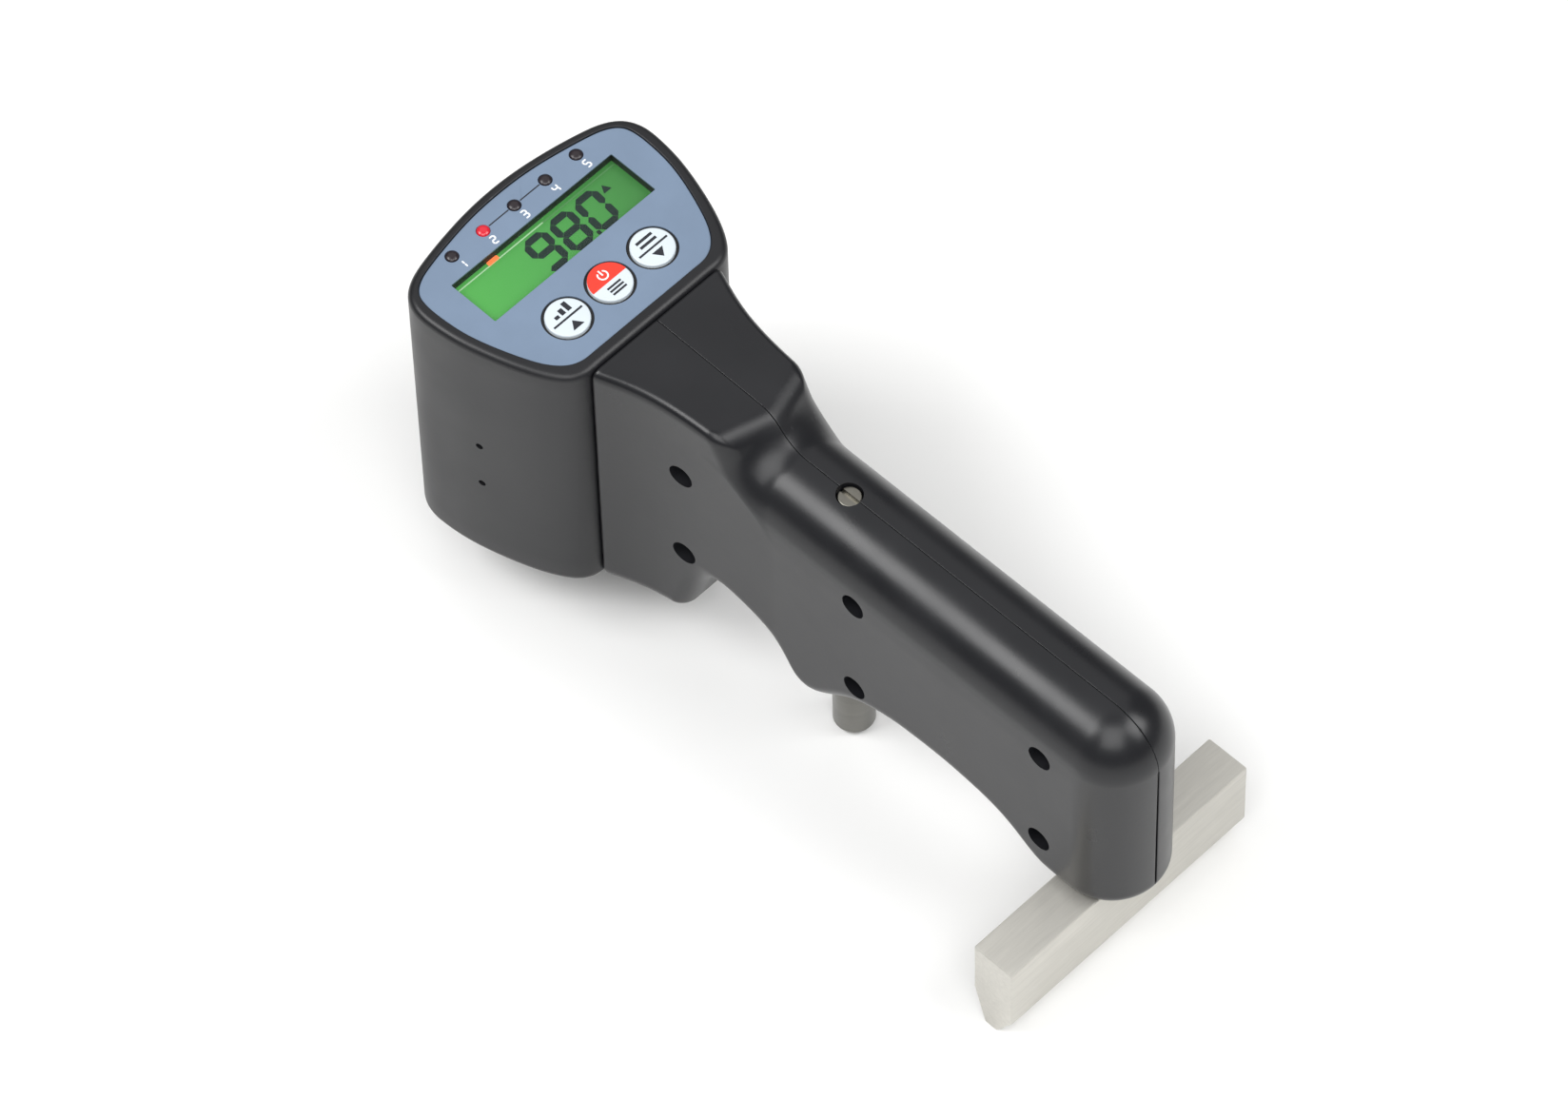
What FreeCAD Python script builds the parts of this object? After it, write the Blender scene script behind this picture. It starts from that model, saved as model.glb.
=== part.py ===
import FreeCAD, Part
import os, math
import Sketcher

# Hand-held hardness tester: head with display, grip, steel sleeve, foot bar.
# Row frame: +X from the head towards the foot bar, +Z up, the bench is z = 0,
# origin under the middle of the instrument. Lengths along X in the sheet are
# measured from the front of the head and shifted by x_mid at the end.

os.makedirs("parts", exist_ok=True)
doc = FreeCAD.newDocument("hardness_tester")
V = FreeCAD.Vector

# ---------------------------------------------------------------- sizes
sheet = doc.addObject("Spreadsheet::Sheet", "dims")
SIZES = [
    ("x_mid", 85.0, "half of the overall length"),
    # head
    ("head_back", 42.8, "rear face of the head"),
    ("tilt", 1.289, "the head and its panel lean back by this angle"),
    ("tilt_x", 21.5, "point about which the panel leans"),
    ("head_floor", 15.38, "underside of the head above the bench"),
    ("rim_top", 81.87, "top of the rim around the panel"),
    ("head_wall", 2.4, "wall of the head case"),
    ("floor_thick", 2.2, "floor of the head case"),
    ("rim_round", 1.7, "rounding of the top rim"),
    ("floor_round", 2.5, "rounding of the lower edge"),
    ("pin_hole_dia", 1.5, "two small holes in the near side"),
    ("pin_hole_x", 23.8, ""),
    ("pin_hole_z_up", 50.8, ""),
    ("pin_hole_z_low", 38.9, ""),
    # panel
    ("overlay_top", 81.466, "face of the front sheet"),
    ("overlay_thick", 0.4, ""),
    ("bezel_thick", 1.8, ""),
    ("window_x_front", 10.6, "display opening, front edge"),
    ("window_x_back", 22.2, "display opening, rear edge"),
    ("window_half", 20.9, "display opening, half width"),
    ("pane_thick", 1.0, ""),
    ("pane_drop", 0.9, "pane face below the sheet"),
    ("glass_len", 16.4, "display panel, along X"),
    ("glass_wide", 44.2, "display panel, along Y"),
    ("glass_thick", 1.9, ""),
    ("light_thick", 3.4, "backlight"),
    ("led_x", 6.05, "row of indicators"),
    ("led_pitch", 8.1, ""),
    ("led_dia", 2.6, ""),
    ("key_x", 31.2, "row of keys"),
    ("key_pitch", 11.1, ""),
    ("key_dia", 8.7, ""),
    ("key_ring", 9.9, "opening in the sheet round a key"),
    ("key_gap", 0.1, "clearance around a key"),
    ("key_travel", 0.3, ""),
    ("board_thick", 1.6, ""),
    ("board_top", 73.9, ""),
    # battery
    ("cell_dia", 10.4, "AAA cell"),
    ("cell_len", 44.5, "AAA cell"),
    ("cell_x_front", 13.4, ""),
    ("cell_x_back", 24.2, ""),
    ("cell_z_low", 24.2, ""),
    ("cell_z_up", 35.0, ""),
    ("door_len", 23.0, ""),
    ("door_wide", 46.6, ""),
    ("door_thick", 2.0, ""),
    # neck and grip
    ("neck_front", 43.0, ""),
    ("grip_half", 11.13, "half width of the grip"),
    ("grip_end_x", 158.87, "centre of the round end"),
    ("grip_top", 74.0, ""),
    ("neck_top_front", 81.1, ""),
    ("neck_top_back", 80.1, ""),
    ("ridge_mid_x", 73.9, "ridge behind the neck, in the middle"),
    ("ridge_side_x", 70.3, "ridge at the sides"),
    ("grip_round", 10.9, "rounding along the top of the grip"),
    ("belly_round", 3.2, "rounding along the underside"),
    ("shell_wall", 2.4, ""),
    ("part_gap", 0.24, "joint line between the two halves"),
    ("recess_dia", 5.3, "screw recess"),
    ("recess_depth", 5.5, ""),
    ("screw_x_one", 61.0, ""), ("screw_hi_one", 61.1, ""), ("screw_lo_one", 36.2, ""),
    ("screw_x_two", 103.9, ""), ("screw_hi_two", 60.64, ""), ("screw_lo_two", 33.97, ""),
    ("screw_x_three", 150.9, ""), ("screw_hi_three", 59.66, ""), ("screw_lo_three", 32.8, ""),
    ("boss_dia", 6.4, ""),
    # foot bar
    ("bar_x", 154.05, "inner face"),
    ("bar_thick", 9.65, ""),
    ("bar_long", 63.3, ""),
    ("bar_top", 22.86, ""),
    ("bar_ridge_front", 156.8, "foot ridge"),
    ("bar_ridge_back", 159.9, "foot ridge"),
    ("bar_slope_front", 9.6, "height where the inner slope starts"),
    ("bar_slope_back", 6.3, "height where the outer slope starts"),
    ("bar_edge", 0.5, "broken edges"),
    # point and load train
    ("point_x", 92.6, "axis of sleeve, spring and load screw"),
    ("travel", 0.76, "indenter travel"),
    ("sleeve_dia", 8.2, ""),
    ("sleeve_top", 38.4, ""),
    ("plunger_dia", 3.0, ""),
    ("plunger_bore", 3.1, ""),
    ("point_flat", 0.16, "flat of the point"),
    ("point_angle", 26.0, "included angle of the point"),
    ("collar_dia", 8.4, ""),
    ("collar_low", 43.0, ""),
    ("collar_thick", 1.5, ""),
    ("spring_bore", 9.2, ""),
    ("spring_top", 60.0, ""),
    ("spring_wire", 1.0, ""),
    ("spring_mean", 6.4, "mean coil diameter"),
    ("seat_thick", 2.0, ""),
    ("load_dia", 4.8, "load screw"),
    ("load_top", 73.7, ""),
    ("slot_wide", 0.9, ""),
    ("slot_deep", 1.1, ""),
    ("column_half", 7.6, "frame column, half length"),
    ("frame_half", 6.0, "frame, half width"),
    ("frame_low", 29.0, ""),
    ("column_top", 66.0, ""),
    ("beam_low", 40.2, ""),
    ("beam_top", 56.2, ""),
    ("leg_x", 154.8, ""),
    ("leg_len", 8.2, ""),
    ("lever_x", 80.0, "lever pivot"),
    ("lever_z", 41.6, ""),
    ("lever_rear", 9.2, ""),
    ("lever_fore", 10.0, ""),
    ("lever_thick", 2.6, ""),
    ("lever_pin_dia", 2.0, ""),
    ("sensor_x", 70.0, ""),
    ("sensor_dia", 8.0, ""),
    ("core_dia", 2.4, ""),
]
for i, (alias, value, note) in enumerate(SIZES):
    r = i + 1
    sheet.set("A%d" % r, alias)
    sheet.set("B%d" % r, "%g" % value)
    sheet.setAlias("B%d" % r, alias)
    if note:
        sheet.set("C%d" % r, note)
doc.recompute()


def D(alias):
    return float(sheet.get(alias))


EXPORT = []          # objects that become parts, in order
XM = D("x_mid")


def keep(obj, label):
    obj.Label = label
    obj.Placement = FreeCAD.Placement(V(-XM, 0, 0), FreeCAD.Rotation()).multiply(obj.Placement)
    EXPORT.append(obj)
    return obj


TILT = D("tilt")
PANEL_PIVOT = V(D("tilt_x"), 0, D("overlay_top"))
FLOOR_PIVOT = V(D("tilt_x"), 0, 30.0)


def feature(name, shape, pivot=None):
    """Store a finished shape; with a pivot it leans back with the panel."""
    o = doc.addObject("Part::Feature", name)
    if pivot is not None:
        shape = shape.copy()
        shape.rotate(pivot, V(0, 1, 0), TILT)
    o.Shape = shape
    return keep(o, name)


def clean(shape):
    """Merge coplanar faces where that leaves a sound solid."""
    try:
        r = shape.removeSplitter()
        if r.isValid() and abs(r.Volume - shape.Volume) < 0.01 * shape.Volume:
            return r
    except Exception:
        pass
    return shape


def cyl(x, y, z, r, length, axis="Z"):
    d = {"X": V(1, 0, 0), "Y": V(0, 1, 0), "Z": V(0, 0, 1)}[axis]
    return Part.makeCylinder(r, length, V(x, y, z), d)


def box(x0, x1, y0, y1, z0, z1):
    return Part.makeBox(x1 - x0, y1 - y0, z1 - z0, V(x0, y0, z0))


def rounded(shape, picker, radii):
    """Fillet the picked edges with the first radius that gives a sound solid."""
    for r in radii:
        edges = [e for e in shape.Edges if picker(e)]
        if not edges:
            return shape
        try:
            s = shape.makeFillet(r, edges)
            if s.isValid() and s.Volume > 0 and len(s.Solids) == 1:
                return s
        except Exception:
            pass
    FreeCAD.Console.PrintWarning("rounding left out\n")
    return shape


def spline(points):
    c = Part.BSplineCurve()
    c.interpolate(Points=points)
    return c


def shifted(points, curve, off):
    """Move interpolation points sideways by off (to the left of travel)."""
    out = []
    for p in points:
        u = curve.parameter(p)
        t = curve.tangent(u)[0]
        n = V(0, 0, 1).cross(t)
        out.append(p + n * off)
    return out


# ---------------------------------------------------------------- head outline
# half outline in plan, from the rear corner round to the front middle
HEAD_HALF = [(42.8, 16.9), (41.8, 19.9), (38.6, 22.8), (33.5, 25.35), (27.0, 27.6),
             (20.0, 29.35), (14.5, 30.0), (9.8, 29.75), (6.5, 28.1), (4.3, 25.2),
             (2.7, 20.5), (1.25, 13.5), (0.33, 6.8), (0.0, 0.0)]
# the same for the sheet that lies in the rim
PANEL_HALF = [(40.0, 15.0), (39.2, 17.9), (36.6, 20.7), (31.5, 23.3), (25.6, 25.4),
              (20.0, 26.8), (14.5, 27.35), (10.4, 27.25), (8.0, 26.5), (6.3, 24.6),
              (4.95, 20.9), (3.6, 14.5), (2.6, 8.0), (2.2, 0.0)]


def plan_loop(half, off, z):
    """Plan outline moved inwards by off, one closed smooth edge, as a face at height z."""
    xb, yb = half[0]
    upper = [V(xb, yb * k, 0) for k in (0.36, 0.7, 0.9)] + [V(x, y, 0) for x, y in half]
    pts = upper + [V(p.x, -p.y, 0) for p in reversed(upper[:-1])]
    c = Part.BSplineCurve()
    c.interpolate(Points=pts, PeriodicFlag=True)
    if off:
        q = shifted(pts, c, off)
        n = len(q)
        for i in range(n // 2):
            m = V((q[i].x + q[n - 1 - i].x) / 2, (q[i].y - q[n - 1 - i].y) / 2, 0)
            q[i] = m
            q[n - 1 - i] = V(m.x, -m.y, 0)
        # points of a tight corner that have crossed over are dropped
        keepers = [p for p in q if min((p - o).Length for o in pts) > abs(off) * 0.93]
        c = Part.BSplineCurve()
        c.interpolate(Points=keepers, PeriodicFlag=True)
    f = Part.Face(Part.Wire([c.toShape()]))
    f.translate(V(0, 0, z))
    return f


def slab(off, z0, z1):
    return plan_loop(HEAD_HALF, off, z0).extrude(V(0, 0, z1 - z0))


def panel_slab(off, z0, z1):
    return plan_loop(PANEL_HALF, off, z0).extrude(V(0, 0, z1 - z0))


def leaning(z0, z1, x0=-60, x1=120):
    """Big box between two heights that leans back with the panel."""
    b = box(x0, x1, -60, 60, z0, z1)
    b.rotate(V(D("tilt_x"), 0, (D("head_floor") + D("rim_top")) / 2), V(0, 1, 0), TILT)
    return b


def on_level(e, z):
    k = math.tan(math.radians(TILT))
    return all(abs(v.Z - (z - k * (v.X - D("tilt_x")))) < 0.05 for v in e.Vertexes) and \
        abs(e.valueAt((e.FirstParameter + e.LastParameter) / 2).z - (z - k * (
            e.valueAt((e.FirstParameter + e.LastParameter) / 2).x - D("tilt_x")))) < 0.05


# ---------------------------------------------------------------- head case
rim = D("rim_top")
fl = D("head_floor")
wall = D("head_wall")
shelf_top = D("overlay_top") - D("overlay_thick") - D("bezel_thick")
case = slab(0, 0, 100).common(leaning(fl, rim))
case = rounded(case, lambda e: on_level(e, rim), [D("rim_round"), 1.4, 1.0, 0.6])
case = rounded(case, lambda e: on_level(e, fl), [D("floor_round"), 2.0, 1.5, 1.0])
# hollow, then a shelf for the bezel, open at the front where the lamps stand
case = case.cut(slab(wall, 0, 100).common(leaning(fl + D("floor_thick"), shelf_top - 2.0)))
case = case.cut(slab(wall + 1.1, 0, 100).common(leaning(shelf_top - 2.05, shelf_top + 0.1)))
case = case.cut(slab(wall, 0, 100).common(leaning(shelf_top - 2.05, shelf_top + 0.1, -60, 10.0)))
case = case.cut(panel_slab(-0.08, 0, 100).common(leaning(shelf_top, rim + 5)))
dl, dw = D("door_len"), D("door_wide")
door_x = (D("cell_x_front") + D("cell_x_back")) / 2
opening = box(door_x - dl / 2 - 0.15, door_x + dl / 2 + 0.15, -dw / 2 - 0.15, dw / 2 + 0.15, fl - 1, fl + 4)
opening.rotate(FLOOR_PIVOT, V(0, 1, 0), TILT)
case = case.cut(opening)
# ledges that the door snaps against
for sx in (-1, 1):
    xa = door_x + sx * (dl / 2 + 0.6)
    tab = box(min(xa, xa - sx * 1.4), max(xa, xa - sx * 1.4), -9, 9, fl + D("door_thick") + 0.05, fl + D("door_thick") + 1.2)
    tab.rotate(FLOOR_PIVOT, V(0, 1, 0), TILT)
    case = case.fuse(tab)
for zz in (D("pin_hole_z_up"), D("pin_hole_z_low")):
    case = case.cut(cyl(D("pin_hole_x"), -40, zz, D("pin_hole_dia") / 2, 20, "Y"))
for yy in (-7.5, 7.5):
    for zz in (27.0, 68.0):
        case = case.cut(cyl(36, yy, zz, 1.35, 10, "X"))
case = case.cut(cyl(36, 0, 48, 4.0, 10, "X"))
feature("head_case", clean(case))

# ---------------------------------------------------------------- bezel plate and sheet
zb1 = D("overlay_top") - D("overlay_thick")
zb0 = zb1 - D("bezel_thick")
wx0, wx1, wy = D("window_x_front"), D("window_x_back"), D("window_half")
KEYS = [(-D("key_pitch"), "button_left"), (0.0, "button_power"), (D("key_pitch"), "button_right")]
LEDS = [k * D("led_pitch") for k in (-2, -1, 0, 1, 2)]


def panel_openings(z0, z1, extra, key_r):
    t = [box(wx0 - extra, wx1 + extra, -wy - extra, wy + extra, z0, z1)]
    for yy, _ in KEYS:
        t.append(cyl(D("key_x"), yy, z0, key_r, z1 - z0))
    for yy in LEDS:
        t.append(cyl(D("led_x"), yy, z0, D("led_dia") / 2 + 0.08, z1 - z0))
    return t


bezel = panel_slab(0, zb0, zb1)
for t in panel_openings(zb0 - 1, zb1 + 1, 0.0, D("key_dia") / 2 + D("key_gap")):
    bezel = bezel.cut(t)
POSTS = [(14.5, 24.4), (14.5, -24.4), (36.2, 17.0), (36.2, -17.0)]
for px, py in POSTS:
    post = cyl(px, py, D("board_top"), 1.9, zb0 - D("board_top") + 0.2)
    post = post.cut(cyl(px, py, D("board_top") - 1, 0.8, 4.0))
    bezel = bezel.fuse(post)
feature("display_bezel", clean(bezel), PANEL_PIVOT)

over = panel_slab(0, zb1, D("overlay_top"))
for t in panel_openings(zb1 - 1, D("overlay_top") + 1, 0.0, D("key_ring") / 2):
    over = over.cut(t)
feature("keypad_overlay", over, PANEL_PIVOT)

# ---------------------------------------------------------------- parametric plates


def bind(obj, prop, expr):
    obj.setExpression(prop, expr)


def plane_of(body, role):
    for o in body.Origin.OriginFeatures:
        if o.Role == role:
            return o
    raise RuntimeError(role)


def rect_sketch(body, name, len_expr, wide_expr, z=None):
    sk = body.newObject("Sketcher::SketchObject", name)
    sk.AttachmentSupport = [(plane_of(body, "XY_Plane"), "")]
    sk.MapMode = "FlatFace"
    a, b = 5.0, 3.0
    pts = [V(-a, -b, 0), V(a, -b, 0), V(a, b, 0), V(-a, b, 0)]
    for i in range(4):
        sk.addGeometry(Part.LineSegment(pts[i], pts[(i + 1) % 4]), False)
    for i in range(4):
        sk.addConstraint(Sketcher.Constraint("Coincident", i, 2, (i + 1) % 4, 1))
    sk.addConstraint(Sketcher.Constraint("Horizontal", 0))
    sk.addConstraint(Sketcher.Constraint("Horizontal", 2))
    sk.addConstraint(Sketcher.Constraint("Vertical", 1))
    sk.addConstraint(Sketcher.Constraint("Vertical", 3))
    sk.addConstraint(Sketcher.Constraint("Symmetric", 0, 1, 2, 1, -1, 1))
    i = sk.addConstraint(Sketcher.Constraint("DistanceX", 0, 1, 0, 2, 2 * a))
    sk.renameConstraint(i, "length")
    j = sk.addConstraint(Sketcher.Constraint("DistanceY", 1, 1, 1, 2, 2 * b))
    sk.renameConstraint(j, "width")
    bind(sk, "Constraints.length", len_expr)
    bind(sk, "Constraints.width", wide_expr)
    return sk


def plate(name, len_expr, wide_expr, thick_expr, at, pivot, edge=0.0, holes=()):
    """A PartDesign plate with optional round through holes (x, y, radius expr)."""
    b = doc.addObject("PartDesign::Body", name)
    sk = rect_sketch(b, name + "_outline", len_expr, wide_expr)
    pad = b.newObject("PartDesign::Pad", name + "_pad")
    pad.Profile = sk
    bind(pad, "Length", thick_expr)
    doc.recompute()
    tip = pad
    if holes:
        hs = b.newObject("Sketcher::SketchObject", name + "_holes")
        hs.AttachmentSupport = [(plane_of(b, "XY_Plane"), "")]
        hs.MapMode = "FlatFace"
        for k, (hx, hy, rexpr) in enumerate(holes):
            g = hs.addGeometry(Part.Circle(V(hx, hy, 0), V(0, 0, 1), 1.0), False)
            c = hs.addConstraint(Sketcher.Constraint("Radius", g, 1.0))
            hs.renameConstraint(c, "hole_r%d" % k)
            cx = hs.addConstraint(Sketcher.Constraint("DistanceX", -1, 1, g, 3, hx))
            cy = hs.addConstraint(Sketcher.Constraint("DistanceY", -1, 1, g, 3, hy))
            bind(hs, "Constraints.hole_r%d" % k, rexpr)
        pk = b.newObject("PartDesign::Pocket", name + "_pocket")
        pk.Profile = hs
        pk.Type = 1
        pk.Reversed = True
        doc.recompute()
        if pk.Shape.Volume >= pad.Shape.Volume - 1e-6:
            raise RuntimeError("pocket of %s cuts nothing" % name)
        tip = pk
    if edge:
        fil = b.newObject("PartDesign::Fillet", name + "_fillet")
        names = []
        for k, e in enumerate(tip.Shape.Edges):
            bb = e.BoundBox
            if bb.ZLength > 1e-6 and bb.XLength < 1e-6 and bb.YLength < 1e-6:
                names.append("Edge%d" % (k + 1))
        fil.Base = (tip, names)
        fil.Radius = edge
        doc.recompute()
        tip = fil
    b.Tip = tip
    b.Placement = FreeCAD.Placement(V(0, 0, 0), FreeCAD.Rotation(V(0, 1, 0), TILT), pivot).multiply(
        FreeCAD.Placement(V(*at), FreeCAD.Rotation()))
    doc.recompute()
    return keep(b, name)


wc = (wx0 + wx1) / 2
pane_z = D("overlay_top") - D("pane_drop") - D("pane_thick")
plate("lcd_window", "dims.window_x_back - dims.window_x_front - 0.1", "2 * dims.window_half - 0.1", "dims.pane_thick", (wc, 0, pane_z), PANEL_PIVOT)
glass_z = D("board_top") + D("light_thick")
plate("lcd_glass", "dims.glass_len", "dims.glass_wide", "dims.glass_thick", (wc, 0, glass_z), PANEL_PIVOT)
plate("lcd_backlight", "dims.glass_len - 1", "dims.glass_wide - 2", "dims.light_thick", (wc, 0, D("board_top")), PANEL_PIVOT)
plate("battery_door", "dims.door_len", "dims.door_wide", "dims.door_thick", (door_x, 0, fl), FLOOR_PIVOT, edge=1.5)

# display board follows the plan of the head
brd = slab(3.5, D("board_top") - D("board_thick"), D("board_top"))
for px, py in POSTS:
    brd = brd.cut(cyl(px, py, 60, 1.0, 20))
feature("display_board", brd, PANEL_PIVOT)
screws = []
for px, py in POSTS:
    hd = cyl(px, py, D("board_top") - D("board_thick") - 1.3, 1.7, 1.3)
    sh = cyl(px, py, D("board_top") - D("board_thick") - 0.2, 0.78, 4.0)
    s = hd.fuse(sh).cut(box(px - 1.7, px + 1.7, py - 0.25, py + 0.25, 60, D("board_top") - D("board_thick") - 0.8))
    screws.append(s)
feature("board_screws", Part.makeCompound(screws), PANEL_PIVOT)

chips = [box(15, 22, -14, -7, D("board_top") - D("board_thick") - 1.2, D("board_top") - D("board_thick")),
         box(14, 19, 4, 10, D("board_top") - D("board_thick") - 1.6, D("board_top") - D("board_thick")),
         box(27, 31, -4, 4, D("board_top") - D("board_thick") - 2.4, D("board_top") - D("board_thick"))]
feature("controller_chips", Part.makeCompound(chips), PANEL_PIVOT)

# key switches and keys
sw = []
for yy, _ in KEYS:
    kx = D("key_x")
    b0 = box(kx - 3, kx + 3, yy - 3, yy + 3, D("board_top"), D("board_top") + 3.3)
    sw.append(b0.fuse(cyl(kx, yy, D("board_top") + 3.3, 1.7, 0.6)))
feature("key_switches", Part.makeCompound(sw), PANEL_PIVOT)
for yy, label in KEYS:
    r = D("key_dia") / 2
    top = D("overlay_top") + 0.35
    cap = cyl(D("key_x"), yy, zb0 - 0.9, r, top - zb0 + 0.9)
    cap = rounded(cap, lambda e: abs(e.BoundBox.ZMin - top) < 1e-4, [0.3])
    cap = cap.fuse(cyl(D("key_x"), yy, zb0 - 0.9, r + 0.55, 0.8))
    cap = cap.cut(cyl(D("key_x"), yy, zb0 - 2, r - 1.2, 2.2))
    cap = cap.fuse(cyl(D("key_x"), yy, zb0 - 0.95, 1.4, 1.4))
    feature(label, clean(cap), PANEL_PIVOT)

# indicators: lens standing on the board, dome just proud of the sheet
def led(yy):
    r = D("led_dia") / 2
    z1 = D("overlay_top") - 0.1
    b0 = cyl(D("led_x"), yy, D("board_top"), r, z1 - D("board_top"))
    dome = Part.makeSphere(r, V(D("led_x"), yy, z1 - 0.8)).common(box(0, 20, -40, 40, z1 - 0.8, z1 + 3))
    return b0.cut(cyl(D("led_x"), yy, z1 - 0.8, r + 1, 3)).fuse(dome)


feature("led_lit", led(LEDS[1]), PANEL_PIVOT)
feature("led_unlit", Part.makeCompound([led(LEDS[i]) for i in (0, 2, 3, 4)]), PANEL_PIVOT)

# ---------------------------------------------------------------- batteries
cr, cl = D("cell_dia") / 2, D("cell_len")
cells, contacts = [], []
for ix, cx in enumerate((D("cell_x_front"), D("cell_x_back"))):
    for iz, cz in enumerate((D("cell_z_low"), D("cell_z_up"))):
        s = 1 if (ix + iz) % 2 == 0 else -1
        body = cyl(cx, -cl / 2 + (0.9 if s < 0 else 0), cz, cr, cl - 0.9, "Y")
        nub = cyl(cx, cl / 2 - 1.0 if s > 0 else -cl / 2, cz, 1.9, 1.0, "Y")
        cells.append(body.fuse(nub))
        # flat plate at the plus end, cone spring stand-off at the minus end
        yp = s * (cl / 2 + 0.05)
        contacts.append(box(cx - 3.5, cx + 3.5, min(yp, yp + s * 0.35), max(yp, yp + s * 0.35), cz - 3.5, cz + 3.5))
        ym = -s * (cl / 2 + 0.05)
        plate_m = box(cx - 3.5, cx + 3.5, min(ym - s * 0.45, ym - s * 0.75), max(ym - s * 0.45, ym - s * 0.75), cz - 3.5, cz + 3.5)
        cone = Part.makeCone(3.0, 1.6, 0.5, V(cx, ym - s * 0.5, cz), V(0, s, 0)).cut(
            Part.makeCone(2.2, 0.8, 0.5, V(cx, ym - s * 0.5, cz), V(0, s, 0)))
        contacts.append(plate_m.fuse(cone))
feature("battery_cells", Part.makeCompound(cells), FLOOR_PIVOT)
feature("battery_contacts", Part.makeCompound(contacts), FLOOR_PIVOT)
hx0, hx1 = D("cell_x_front") - cr - 1.0, D("cell_x_back") + cr + 1.0
hz0, hz1 = D("cell_z_low") - cr - 0.4, D("cell_z_up") + cr + 1.2
hy = cl / 2 + 1.9
hold = box(hx0, hx1, -hy, hy, hz0, hz1)
hold = hold.cut(box(hx0 + 0.9, hx1 - 0.9, -cl / 2 - 0.85, cl / 2 + 0.85, hz0 - 1, hz1 - 1.0))
# bar in the middle that keeps the four cells apart
mid_z = (D("cell_z_low") + D("cell_z_up")) / 2
hold = hold.fuse(box(door_x - 1.4, door_x + 1.4, -cl / 2 - 1.2, cl / 2 + 1.2, mid_z - 1.4, mid_z + 1.4))
hold = hold.common(slab(wall + 0.4, 0, 100))
feature("battery_holder", clean(max(hold.Solids, key=lambda q: q.Volume)), FLOOR_PIVOT)

# ---------------------------------------------------------------- neck and grip
NECK_POLES = [(43.0, 17.03), (48.0, 15.6), (56.0, 10.4), (66.0, 12.9), (76.0, 11.13), (84.0, 11.13)]
BELLY = [(59.6, 14.8), (60.75, 18.4), (62.05, 22.4), (63.5, 26.3), (65.8, 30.4), (69.6, 32.2), (74.0, 31.2),
         (79.0, 29.0), (82.0, 26.6), (84.7, 23.3), (87.2, 20.3), (89.9, 19.05), (92.8, 19.5),
         (95.6, 21.2), (99.0, 24.0), (103.5, 27.3), (108.6, 29.6), (114.0, 30.9), (120.0, 31.4),
         (127.0, 31.4), (133.0, 30.8), (138.0, 29.8), (142.6, 27.9), (147.0, 25.1), (150.8, 23.3),
         (154.0, 22.93), (158.0, 22.91), (164.0, 22.91), (170.0, 22.91), (175.0, 22.91)]
NECK_FLOOR = 14.8


def plan_face(grow):
    """Plan of neck and grip, both sides mirrored, with a round end."""
    half = D("grip_half") + grow
    xe = D("grip_end_x")
    poles = [V(x, y + grow, 0) for x, y in NECK_POLES]
    up, lw = Part.BezierCurve(), Part.BezierCurve()
    up.setPoles(poles)
    lw.setPoles([V(p.x, -p.y, 0) for p in poles])
    x1 = poles[-1].x
    edges = [up.toShape(), Part.makeLine(V(x1, half, 0), V(xe, half, 0)),
             Part.Arc(V(xe, half, 0), V(xe + half, 0, 0), V(xe, -half, 0)).toShape(),
             Part.makeLine(V(xe, -half, 0), V(x1, -half, 0)), lw.toShape(),
             Part.makeLine(V(poles[0].x, -poles[0].y, 0), poles[0])]
    return Part.Face(Part.Wire(Part.__sortEdges__(edges)))


def side_face(top):
    """Side view of neck and grip below a flat top, as a face in the XZ plane."""
    pts = [V(x, z, 0) for x, z in BELLY]
    a = V(D("neck_front"), pts[0].y, 0)
    e = pts[-1]
    edges = [Part.makeLine(a, pts[0]), spline(pts).toShape(), Part.makeLine(e, V(e.x, top, 0)),
             Part.makeLine(V(e.x, top, 0), V(a.x, top, 0)), Part.makeLine(V(a.x, top, 0), a)]
    f = Part.Face(Part.Wire(edges))
    f.rotate(V(0, 0, 0), V(1, 0, 0), 90)
    return f


def lower_body():
    top = D("grip_top")
    prism = plan_face(0).extrude(V(0, 0, 100))
    side = side_face(top)
    side.translate(V(0, 40, 0))
    s = prism.common(side.extrude(V(0, -80, 0))).Solids[0]
    rr = D("grip_round")
    return rounded(s, lambda e: e.BoundBox.ZMin > top - 1e-3 and not e.BoundBox.XLength < 1e-3,
                   [rr, rr - 0.5, rr - 1.5, rr - 3])


VOID_SIDE = [(45.4, 17.2), (58.0, 17.2), (61.6, 28.0), (65.0, 34.4), (70.0, 35.0), (75.0, 33.9),
             (80.5, 31.4), (86.0, 26.2), (89.4, 21.9), (92.6, 21.9), (97.0, 25.0), (104.0, 30.4),
             (114.0, 33.6), (128.0, 33.9), (139.0, 32.2), (147.5, 27.7), (152.0, 25.6), (175.0, 25.6)]
VOID_PLAN = [(45.4, 14.0), (52.0, 11.85), (60.0, 10.6), (69.0, 9.65), (84.0, 8.73)]


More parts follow.
